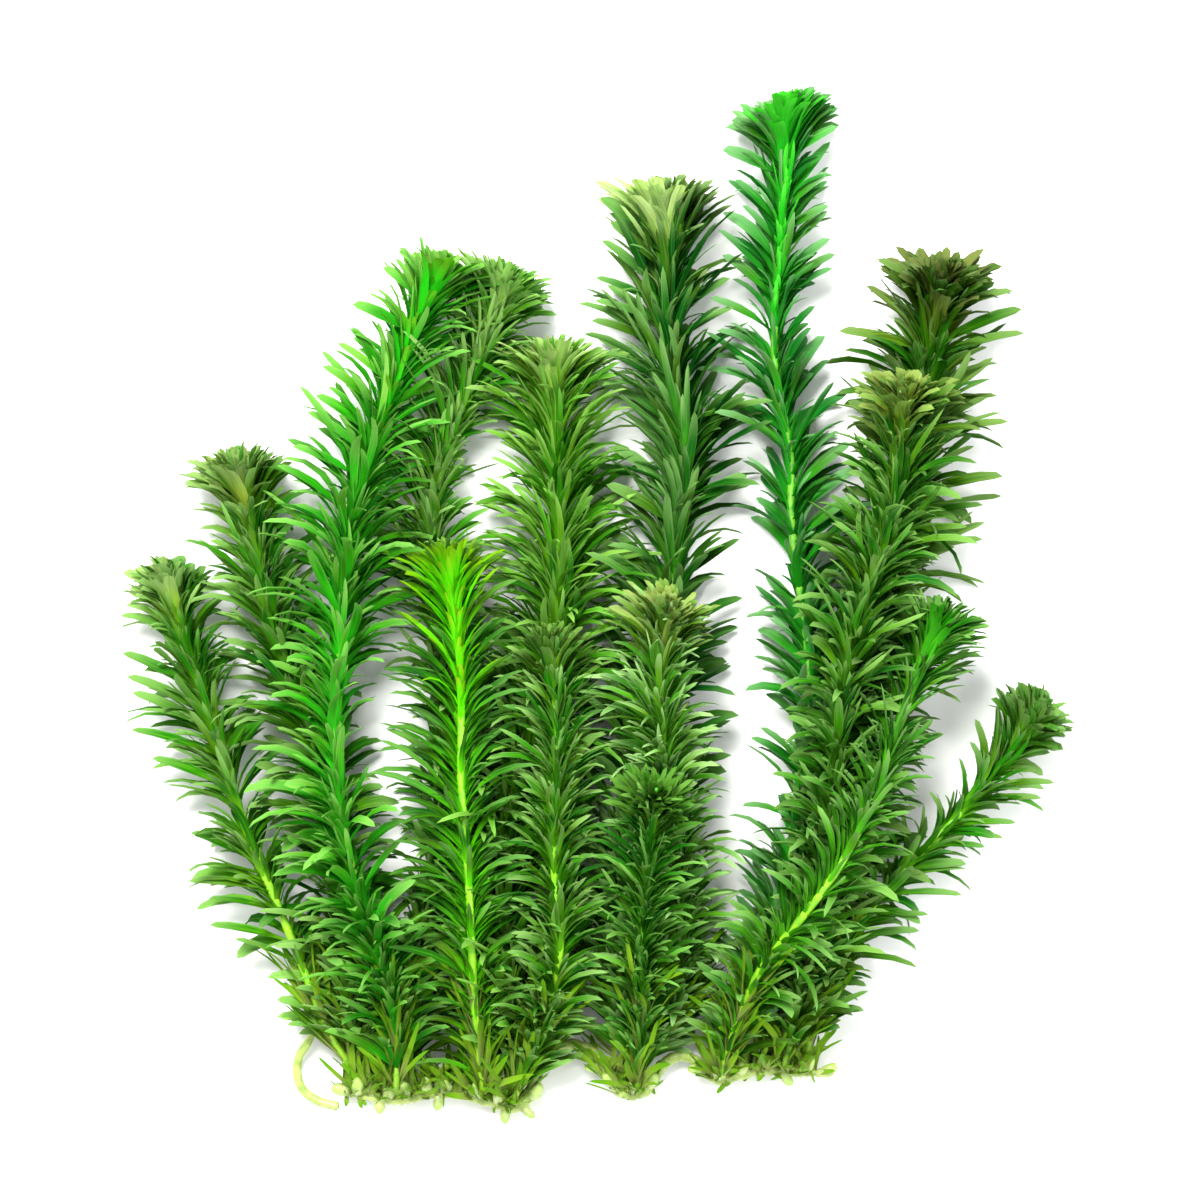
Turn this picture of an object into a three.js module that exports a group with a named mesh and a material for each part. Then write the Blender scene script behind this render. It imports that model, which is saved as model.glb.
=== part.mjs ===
// Hydrilla, a submerged aquarium plant: fifteen leafy shoots that grow from one creeping rhizome,
// with one short runner. The clump is laid down on a flat surface.
// Millimetres, +X to the right, +Y from the rhizome towards the tips, +Z up off the surface.
// Each shoot is a slender stem with whorls of six narrow leaves grown together with it,
// and a crowded whorl at its tip.
import * as THREE from 'three';

// Driving dimensions
const STEM_RADIUS = 1.25;
const STEM_FOOT_RADIUS = 0.9;
const LEAF_REACH = 14.5;
const LEAVES_PER_WHORL = 6;
const WHORL_SPACING = 9.9;
const RHIZOME_RADIUS = 1.9;
const RUNNER_RADIUS = 1.35;
const JOINT_GAP = 0.3; // between a shoot's foot and the rhizome's skin
const NEIGHBOUR_GAP = 0.9; // how much nearer to its own stem a leaf stays than to any other axis

// The middle of the clump's outline on the surface, from the point below the middle of its foot
const CLUMP_CENTRE = new THREE.Vector3(-0.96, 124.58, 0);

// How a whorl is shaped: shares of its leaf reach
const LEAF_LIFT = 0.42; // how far a leaf tip stands ahead of its whorl
const WAIST = 0.48; // radius of the leaf bases between two whorls
const NOTCH = 0.52; // radius between two leaves of one whorl
const CROWN_REACH = 0.86; // the last whorl, of the reach below it
const CROWN_LIFT = 0.62;
const BUD_REACH = 0.42; // the young leaves round the tip

// How a shoot is shaped along its stem, in millimetres
const WAIST_LEAD = 1.6; // from a waist to the whorl above it
const NOTCH_LIFT = 0.8; // from a whorl to the notches between its leaves
const CROWN_SPACING = 5.5; // between the two crowded whorls of the tip
const TIP_MARGIN = 6.5; // from the last whorl to the end of the stem
const BUD_LIFT = 1.35;
const BUD_LENGTH = 4.5; // from the end of the stem to the point of the bud
const STRAIGHT_FOOT = 3; // the length of stem that leaves the rhizome square to it

// The leaves grow from a share of their full reach at the foot to all of it a share of the way up
const FOOT_REACH = 0.42;
const FOOT_SHARE = 0.12;

// The rhizome's axis, from its left end to its right end
const RHIZOME_PATH = [
  [-61.5, 6.2, 4.5], [-56, 5.6, 4.5], [-49, 4.8, 4.5], [-41, 6, 4.5], [-32, 5.6, 4.5], [-25.5, 3.8, 4.5],
  [-21, 2.8, 4.5], [-17.6, 4.6, 4.5], [-15.6, 9, 4.5], [-14, 13.4, 4.5], [-11, 16.6, 4.5], [-7, 17.8, 4.5],
  [-2.8, 16.6, 4.5], [0.6, 13.2, 4.5], [2.6, 9, 4.5], [5.4, 6.3, 4.5], [10.4, 6.6, 4.5], [13, 10, 4.5],
  [15.8, 13.4, 4.5], [19.8, 15, 4.5], [23, 13.8, 4.5], [25.6, 11, 4.5], [29, 9.6, 4.5], [34, 10.8, 4.5],
  [39.6, 12, 4.5], [46, 11.4, 4.5], [52.5, 11, 4.5],
];
// A short runner that curls from the foot of the outermost stem round to the rhizome's left end
const RUNNER_PATH = [
  [-65, 3.2, 3.4], [-68.4, 4.6, 3], [-71.6, 7, 2.8], [-73, 10.6, 3], [-72.4, 14.6, 3.8], [-70.6, 17.8, 5],
  [-69.4, 19.6, 6],
];

// Every shoot: the X at which it leaves the rhizome, the angle above the surface at which it leaves,
// its leaf reach as a share of LEAF_REACH, its colour, and the points of its stem up to the tip
const GREENS = { bright: 0x3f9a1e, mid: 0x37801f, dark: 0x1d6430, olive: 0x4f7424 };
const SHOOTS = [
  { name: 'shoot_far_left', root: -60.6, angle: 10, reach: 1.08, green: 'mid', path: [
    [-65, 20, 8], [-67.6, 26.4, 9.5], [-72, 38, 11], [-77.5, 52, 12], [-84, 67, 12], [-90, 86, 11.5],
    [-95, 101, 11], [-99.5, 115, 11], [-103.5, 128, 11], [-105, 133.5, 11]] },
  { name: 'shoot_left', root: -56.5, angle: -5, reach: 1.1, green: 'mid', path: [
    [-60, 24, 8], [-61.5, 41, 9], [-63, 56, 9.5], [-65, 73, 9.5], [-69, 92, 11], [-75, 107, 12],
    [-79.5, 123, 12], [-82.5, 137, 12], [-85.5, 152, 12], [-87.5, 158.5, 12]] },
  { name: 'shoot_tall_left', root: -49, angle: 50, reach: 1, green: 'bright', path: [
    [-49, 20, 13], [-51, 33, 18], [-54.5, 46, 21], [-59, 61, 23], [-61.5, 75, 24], [-62.5, 92, 24],
    [-62, 111, 22], [-61, 130, 19], [-59.5, 145, 18], [-55.5, 159, 17], [-50.5, 173, 17],
    [-46, 186, 17], [-41, 199, 16.5], [-38, 206.5, 16]] },
  { name: 'shoot_tall_back', root: -45.5, angle: 0, reach: 0.95, green: 'mid', path: [
    [-46, 27, 9], [-44, 41, 10], [-42, 52, 10], [-40, 64, 10], [-39, 77, 10], [-38.6, 96, 10],
    [-39, 115, 10], [-40, 133, 10], [-39.5, 148, 10], [-36, 163, 10], [-31, 177, 10],
    [-26.5, 190, 10.5], [-23, 203, 11]] },
  { name: 'shoot_lime_front', root: -29, angle: 60, reach: 1, green: 'bright', path: [
    [-30, 27, 15], [-30.5, 39, 20], [-31, 52, 23], [-31.5, 63, 25], [-33, 82, 26], [-33, 93, 26],
    [-33, 104, 26], [-34, 118, 26], [-35.5, 130, 25.5], [-36, 137.5, 25]] },
  { name: 'shoot_centre_back', root: -23.5, angle: 0, reach: 1.25, green: 'mid', path: [
    [-21, 27, 9], [-22, 40, 10], [-22.5, 54, 10], [-22.5, 68, 10], [-20, 80, 10], [-15.5, 93, 10],
    [-11.5, 107, 10], [-10, 121, 10], [-10, 133, 10], [-10, 145, 10], [-10.5, 157, 10.5],
    [-11, 169, 11], [-11, 178, 11], [-10.5, 185, 11]] },
  { name: 'shoot_centre_front', root: -20, angle: 60, reach: 1.15, green: 'mid', path: [
    [-16, 15, 11], [-12.5, 26, 16], [-10, 37, 20], [-9.5, 47, 22], [-10.5, 55, 23], [-11, 66, 24],
    [-10.5, 78, 25], [-10, 88, 25.5], [-10.5, 99, 26], [-12, 112, 26], [-12.5, 118, 26]] },
  { name: 'shoot_upper_centre', root: 7.4, angle: 0, reach: 1.2, green: 'dark', path: [
    [6, 27, 9], [5.5, 42, 10], [6.5, 58, 10], [9.5, 77, 10], [13, 97, 10], [16, 116, 10],
    [18, 134, 10], [19.5, 143, 10], [20.5, 152, 10], [20.5, 162, 10], [19, 171, 10], [17, 181, 10],
    [16, 193, 10.5], [16.5, 205, 11], [16, 214, 11], [15, 222, 11]] },
  { name: 'shoot_mid_right_rear', root: 12, angle: 0, reach: 1.15, green: 'dark', path: [
    [17, 25, 9], [19, 37, 10], [19.5, 49, 11.5], [19, 63, 14], [17.5, 77, 18], [15.5, 89, 22],
    [14.5, 101, 24.5], [15, 112, 25.5], [16, 119.5, 27.5], [16.4, 124.5, 31.5]] },
  { name: 'shoot_mid_right_front', root: 9.4, angle: 65, reach: 1.05, green: 'dark', path: [
    [10, 22, 15], [10.5, 34, 20], [10.5, 44, 23.5], [11, 53, 26.5], [12, 63, 29.5], [12.3, 71, 32.5],
    [12.8, 77, 36.5], [13.2, 81, 41.5]] },
  { name: 'shoot_tallest', root: 34.5, angle: 10, reach: 0.95, green: 'bright', path: [
    [38, 25, 9], [41, 36, 10], [43.5, 49, 10], [45.5, 60, 10], [47.5, 70, 10], [50, 81, 10],
    [51.5, 91, 10], [51, 104, 10], [49.5, 118, 10], [47.5, 132, 10], [46, 146, 10], [46, 158, 10],
    [44.5, 168, 10], [42.5, 179, 10], [42, 189, 10], [42.5, 200, 10], [43.8, 213, 10],
    [44.4, 225, 10.5], [44.2, 236, 11], [44.8, 243.5, 11]] },
  { name: 'shoot_olive_back', root: 41, angle: -10, reach: 1.3, green: 'olive', path: [
    [46, 26, 9], [49.5, 36.5, 10], [52.5, 48.5, 10], [56.5, 63, 10], [59.5, 77, 10], [62, 92, 10],
    [64.5, 106, 10], [67, 120, 10], [70.5, 135, 10], [73.5, 149, 10], [76, 164, 10], [78, 176, 10.5],
    [79.5, 187, 11.5], [81.2, 196, 13.5], [82, 203, 17]] },
  { name: 'shoot_olive_front', root: 44.5, angle: 50, reach: 1.1, green: 'olive', path: [
    [47, 25, 14], [49, 38, 19.5], [51.5, 52, 22], [53.5, 65, 23], [55, 75, 23.5], [56.5, 87, 24],
    [57.5, 99, 24.5], [59.5, 111, 25], [62.5, 123, 25], [66, 135, 25], [69, 143.5, 25],
    [70.5, 152, 25], [71.5, 163, 25.5], [72.4, 171, 27.5], [72.9, 176, 32]] },
  { name: 'shoot_right', root: 29.5, angle: 65, reach: 1, green: 'bright', path: [
    [32.5, 23, 17], [35.5, 32, 23], [40.5, 41, 28], [46, 48, 31.5], [52, 56, 34], [57, 63.5, 35],
    [62.5, 74, 34], [67, 84, 32], [70.5, 94, 29], [73.5, 102, 26.5], [76, 109, 25], [79, 116, 24],
    [81, 122.5, 23.5]] },
  { name: 'shoot_far_right', root: 49.5, angle: 5, reach: 1, green: 'mid', path: [
    [50.5, 21, 9], [53, 31, 10], [57.5, 40, 10.5], [62, 47.5, 10.5], [67, 53.5, 10.5],
    [72.5, 60, 10.5], [78, 65, 10.5], [84, 71, 10.5], [89, 77, 10.5], [93, 81.5, 10.5],
    [98, 87.5, 10.5], [101.8, 93, 10.5], [105, 98.5, 10.5], [106.4, 101.5, 10.5]] },
];

const toPoints = (path) => path.map(([x, y, z]) => new THREE.Vector3(x, y, z));
const smoothCurve = (points) => new THREE.CatmullRomCurve3(points, false, 'centripetal');
const rhizomeCurve = smoothCurve(toPoints(RHIZOME_PATH));
const runnerCurve = smoothCurve(toPoints(RUNNER_PATH));

// Where along the rhizome its axis passes a given X, found by halving: the axis always runs to the right
function rhizomeShareAt(x) {
  let low = 0;
  let high = 1;
  for (let step = 0; step < 30; step += 1) {
    const middle = (low + high) / 2;
    if (rhizomeCurve.getPoint(middle).x < x) low = middle;
    else high = middle;
  }
  return low;
}

// A shoot's stem: it leaves the rhizome square to it, a joint's gap clear of its skin
function shootCurve({ root, angle, path }) {
  const share = rhizomeShareAt(root);
  const axisPoint = rhizomeCurve.getPoint(share);
  const along = rhizomeCurve.getTangent(share);
  const rise = THREE.MathUtils.degToRad(angle);
  const leave = new THREE.Vector3(0, Math.cos(rise), Math.sin(rise));
  leave.addScaledVector(along, -leave.dot(along)).normalize();
  const foot = axisPoint.clone().addScaledVector(leave, RHIZOME_RADIUS + JOINT_GAP);
  const second = foot.clone().addScaledVector(leave, STRAIGHT_FOOT);
  return smoothCurve([foot, second, ...toPoints(path)]);
}

const curves = new Map(SHOOTS.map((shoot) => [shoot.name, shootCurve(shoot)]));
curves.set('rhizome', rhizomeCurve);
curves.set('runner', runnerCurve);

const AXIS_SAMPLES = 90;
const REACH_STEP = 0.04;
const axes = new Map([...curves].map(([name, curve]) => [name, curve.getSpacedPoints(AXIS_SAMPLES)]));

const distanceToAxis = (point, name) => Math.min(...axes.get(name).map((sample) => sample.distanceTo(point)));

// True where a point is nearer to its own stem than to any other piece's axis, by the gap between neighbours
function isClear(point, ownName) {
  const own = distanceToAxis(point, ownName) + NEIGHBOUR_GAP;
  return [...axes.keys()].every((name) => name === ownName || distanceToAxis(point, name) > own);
}

// A corner at a radius round the stem and a lift along it, drawn in until it is clear of the neighbours.
// A leaf that would go below the surface lies on it.
function corner(frame, radius, lift, angle, ownName) {
  const least = Math.min(radius, STEM_RADIUS);
  const outward = frame.side.clone().multiplyScalar(Math.cos(angle));
  outward.addScaledVector(frame.up, Math.sin(angle));
  for (let share = 1; ; share -= REACH_STEP) {
    const reach = Math.max(radius * share, least);
    const point = frame.origin.clone().addScaledVector(outward, reach);
    point.addScaledVector(frame.along, lift * share);
    point.z = Math.max(point.z, 0);
    if (reach === least || isClear(point, ownName)) return point;
  }
}

// The stem's own directions at a distance from its foot: along it, across it and away from the surface
function frameAt(curve, distance, length) {
  const share = Math.min(Math.max(distance / length, 0), 1);
  const along = curve.getTangentAt(share);
  const up = new THREE.Vector3(0, 0, 1).addScaledVector(along, -along.z).normalize();
  const side = new THREE.Vector3().crossVectors(up, along);
  return { origin: curve.getPointAt(share), along, up, side };
}

// Collects corners and triangles, and gives a geometry placed at the node's foot
class Skin {
  constructor() {
    this.points = [];
    this.triangles = [];
  }
  add(point) {
    this.points.push(point);
    return this.points.length - 1;
  }
  face(a, b, c) {
    this.triangles.push(a, b, c);
  }
  toMesh(name, material, foot) {
    const geometry = new THREE.BufferGeometry();
    const positions = this.points.flatMap((point) => point.clone().sub(foot).toArray());
    geometry.setAttribute('position', new THREE.Float32BufferAttribute(positions, 3));
    geometry.setIndex(this.triangles);
    const mesh = new THREE.Mesh(geometry, material);
    mesh.name = name;
    mesh.position.copy(foot);
    return mesh;
  }
}

const SECTOR = (2 * Math.PI) / LEAVES_PER_WHORL;

// Where the whorls of a shoot stand, with their reach and lift in millimetres
function whorlsOf(length, reach) {
  const span = length - TIP_MARGIN - CROWN_SPACING;
  const count = Math.max(3, Math.round(span / WHORL_SPACING));
  const spacing = span / count;
  const whorls = [];
  for (let i = 1; i <= count; i += 1) {
    const distance = i * spacing;
    const grown = Math.min(distance / (length * FOOT_SHARE), 1);
    const full = reach * (FOOT_REACH + (1 - FOOT_REACH) * grown);
    whorls.push({ distance, reach: full, lift: full * LEAF_LIFT });
  }
  const crownReach = reach * CROWN_REACH;
  whorls.push({ distance: length - TIP_MARGIN, reach: crownReach, lift: crownReach * CROWN_LIFT });
  return whorls;
}

// A leafy shoot as one skin: a waist below each whorl, the whorl's leaf tips with notches between them,
// and a bud at the end
function makeShoot({ name, reach, green }) {
  const curve = curves.get(name);
  const length = curve.getLength();
  const fullReach = LEAF_REACH * reach;
  const whorls = whorlsOf(length, fullReach);
  const skin = new Skin();

  const ring = (distance, radius, turn, lift = 0) => {
    const frame = frameAt(curve, distance, length);
    return Array.from({ length: LEAVES_PER_WHORL }, (_, j) => (
      skin.add(corner(frame, radius, lift, turn + j * SECTOR, name))));
  };
  const at = (list, j) => list[(j + LEAVES_PER_WHORL) % LEAVES_PER_WHORL];

  // The foot's hexagon stands in line with the notches of the first whorl
  let turn = SECTOR / 2;
  let waist = ring(0, STEM_FOOT_RADIUS, turn - SECTOR / 2);
  const footCentre = skin.add(curve.getPoint(0));
  for (let j = 0; j < LEAVES_PER_WHORL; j += 1) skin.face(footCentre, at(waist, j + 1), at(waist, j));

  whorls.forEach((whorl, i) => {
    const tips = ring(whorl.distance, whorl.reach, turn, whorl.lift);
    const notchRadius = Math.max(whorl.reach * NOTCH, STEM_RADIUS);
    const notches = ring(whorl.distance, notchRadius, turn + SECTOR / 2, NOTCH_LIFT);
    // Below the whorl, waist corner j stands before tip j and notch j after it
    for (let j = 0; j < LEAVES_PER_WHORL; j += 1) {
      skin.face(at(waist, j), at(waist, j + 1), at(tips, j));
      skin.face(at(waist, j), at(tips, j), at(notches, j - 1));
      skin.face(at(waist, j + 1), at(notches, j), at(tips, j));
    }
    const next = whorls[i + 1];
    const upperDistance = next ? next.distance - WAIST_LEAD : length;
    const waistRadius = Math.max(Math.min(whorl.reach, next?.reach ?? 0) * WAIST, STEM_RADIUS);
    const upperRadius = next ? waistRadius : fullReach * BUD_REACH;
    const upper = ring(upperDistance, upperRadius, turn, next ? 0 : BUD_LIFT);
    // Above the whorl, waist corner j stands in line with tip j, so each leaf has a keel
    for (let j = 0; j < LEAVES_PER_WHORL; j += 1) {
      skin.face(at(tips, j), at(notches, j), at(upper, j));
      skin.face(at(notches, j), at(upper, j + 1), at(upper, j));
      skin.face(at(notches, j), at(tips, j + 1), at(upper, j + 1));
    }
    waist = upper;
    turn += SECTOR / 2;
  });

  const end = frameAt(curve, length, length);
  const bud = skin.add(end.origin.clone().addScaledVector(end.along, BUD_LENGTH));
  for (let j = 0; j < LEAVES_PER_WHORL; j += 1) skin.face(at(waist, j), at(waist, j + 1), bud);

  const material = new THREE.MeshStandardMaterial({ color: GREENS[green], roughness: 0.5, metalness: 0 });
  return skin.toMesh(name, material, curve.getPoint(0));
}

// A round stem along a curve: rings whose radius varies along it, closed at both ends by a low cone
const STEM_SIDES = 8;
const CAP_SHARE = 0.6; // a cap's height, of the radius there
function makeRoundStem(name, curve, radiusAt, rings, colour) {
  const sides = STEM_SIDES;
  const length = curve.getLength();
  const skin = new Skin();
  const loops = [];
  for (let i = 0; i <= rings; i += 1) {
    const frame = frameAt(curve, (i / rings) * length, length);
    const radius = radiusAt(i / rings, frame.origin);
    loops.push(Array.from({ length: sides }, (_, j) => {
      const angle = (j / sides) * 2 * Math.PI;
      return skin.add(frame.origin.clone()
        .addScaledVector(frame.side, radius * Math.cos(angle))
        .addScaledVector(frame.up, radius * Math.sin(angle)));
    }));
  }
  for (let i = 0; i < rings; i += 1) {
    for (let j = 0; j < sides; j += 1) {
      const k = (j + 1) % sides;
      skin.face(loops[i][j], loops[i][k], loops[i + 1][j]);
      skin.face(loops[i][k], loops[i + 1][k], loops[i + 1][j]);
    }
  }
  const first = frameAt(curve, 0, length);
  const last = frameAt(curve, length, length);
  const startCap = CAP_SHARE * radiusAt(0, first.origin);
  const endCap = CAP_SHARE * radiusAt(1, last.origin);
  const startPole = skin.add(first.origin.clone().addScaledVector(first.along, -startCap));
  const endPole = skin.add(last.origin.clone().addScaledVector(last.along, endCap));
  for (let j = 0; j < sides; j += 1) {
    const k = (j + 1) % sides;
    skin.face(startPole, loops[0][k], loops[0][j]);
    skin.face(endPole, loops[rings][j], loops[rings][k]);
  }
  const material = new THREE.MeshStandardMaterial({ color: colour, roughness: 0.55, metalness: 0 });
  return skin.toMesh(name, material, first.origin);
}

// The rhizome is thickest where a shoot leaves it, slimmer between the shoots and narrow at both ends
const NODE_HALF_LENGTH = 2.5;
const SLIM_SHARE = 0.78;
const END_SHARE = 0.55;
const END_TAPER = 0.05; // the share of the rhizome's length over which an end narrows
function rhizomeRadius(share, point) {
  const nearest = Math.min(...SHOOTS.map((shoot) => Math.abs(shoot.root - point.x)));
  const swelling = Math.exp(-((nearest / NODE_HALF_LENGTH) ** 2));
  const fromEnd = Math.min(share, 1 - share, END_TAPER) / END_TAPER;
  const ends = END_SHARE + (1 - END_SHARE) * fromEnd;
  return RHIZOME_RADIUS * ends * (SLIM_SHARE + (1 - SLIM_SHARE) * swelling);
}

// The runner narrows to its tip
const TIP_START = 0.85;
const TIP_RADIUS_SHARE = 0.6;
function runnerRadius(share) {
  const towardsTip = Math.max(share - TIP_START, 0) / (1 - TIP_START);
  return RUNNER_RADIUS * (1 - (1 - TIP_RADIUS_SHARE) * towardsTip);
}

const PALE_GREEN = 0xb4bf62;
const RUNNER_GREEN = 0x94b552;
const hydrilla = new THREE.Group();
hydrilla.name = 'hydrilla';
hydrilla.add(makeRoundStem('rhizome', rhizomeCurve, rhizomeRadius, 48, PALE_GREEN));
hydrilla.add(makeRoundStem('runner', runnerCurve, runnerRadius, 14, RUNNER_GREEN));
SHOOTS.forEach((shoot) => hydrilla.add(makeShoot(shoot)));
hydrilla.position.sub(CLUMP_CENTRE);

export default hydrilla;
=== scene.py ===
# Hydrilla: a clump of fifteen leafy shoots on one creeping rhizome, laid down on a pale surface.
# Plant sizes are in millimetres until a mesh is made, and Blender's metres from there on.
import bpy
import numpy as np
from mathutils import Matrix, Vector


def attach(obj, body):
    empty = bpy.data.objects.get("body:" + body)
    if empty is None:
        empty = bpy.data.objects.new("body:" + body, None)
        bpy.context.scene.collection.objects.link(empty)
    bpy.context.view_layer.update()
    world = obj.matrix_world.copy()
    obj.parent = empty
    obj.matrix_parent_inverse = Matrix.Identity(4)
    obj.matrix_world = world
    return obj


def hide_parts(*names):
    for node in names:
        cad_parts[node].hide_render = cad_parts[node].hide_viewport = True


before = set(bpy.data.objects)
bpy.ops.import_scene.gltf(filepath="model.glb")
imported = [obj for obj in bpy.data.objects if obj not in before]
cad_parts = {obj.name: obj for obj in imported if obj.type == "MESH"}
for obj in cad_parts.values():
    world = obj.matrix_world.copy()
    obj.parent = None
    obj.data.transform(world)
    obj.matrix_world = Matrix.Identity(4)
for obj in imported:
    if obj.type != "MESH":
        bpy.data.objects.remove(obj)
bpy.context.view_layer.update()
print("frame loaded:", len(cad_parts), "solids")

metre = 0.001
rng = np.random.default_rng(20)
clumpCentre = np.array([-0.96, 124.58, 0.0])  # the middle of the clump on the surface, as in the solids
bakeMap = "OFBake"  # the name of the pieces' own UV maps

# One row for each shoot.
# root: where it leaves the rhizome (X), angle: how steeply. leaf, wide, each: length and width of a grown
# leaf and leaves in a whorl. gap: the distance between whorls at the tip and at the foot.
# bend: how far leaves bend out from the stem near the tip and at the foot, in degrees. sides: how much longer
# leaves are on the left and on the right. crown: how far its leaves spread, lift: how far it stands above the
# stem's tip. light: how much painted light makes leaves lighter on the left of the crown and on top, where
# the light falls.
# neck: how much darker the stem's top is below the crown, painted shade under the crown. tuft: how many
# leaves are missing between tufts, and how far apart the tufts are. tangle: how disordered leaves are. stray:
# the share of overlong leaves, and how much longer they are. green, stem: its colours, see leafGreens and
# stemFinishes.
# thin: the sides where leaves are missing, with their share, how short the others are, and between which
# shares of the stem's length. tint: its own colours in place of some of its green's.
# path: points of the stem, X, Y and Z, from foot to tip.
# Only some rows have the others. heart: how far round from the top the bright leaves along the crown's
# middle stand, in radians, and from and to how far below the tip. slope: how much lower the crown's top is
# on the left.
# fine: how many times as many narrow leaves it has. standout: single leaves that reach far out of the
# outline, each with the Y of its foot on the stem, the X and Y of its tip, and its width.
usualShoot = {"heart": (0, 0, 0), "slope": 0, "fine": 1, "standout": []}
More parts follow.
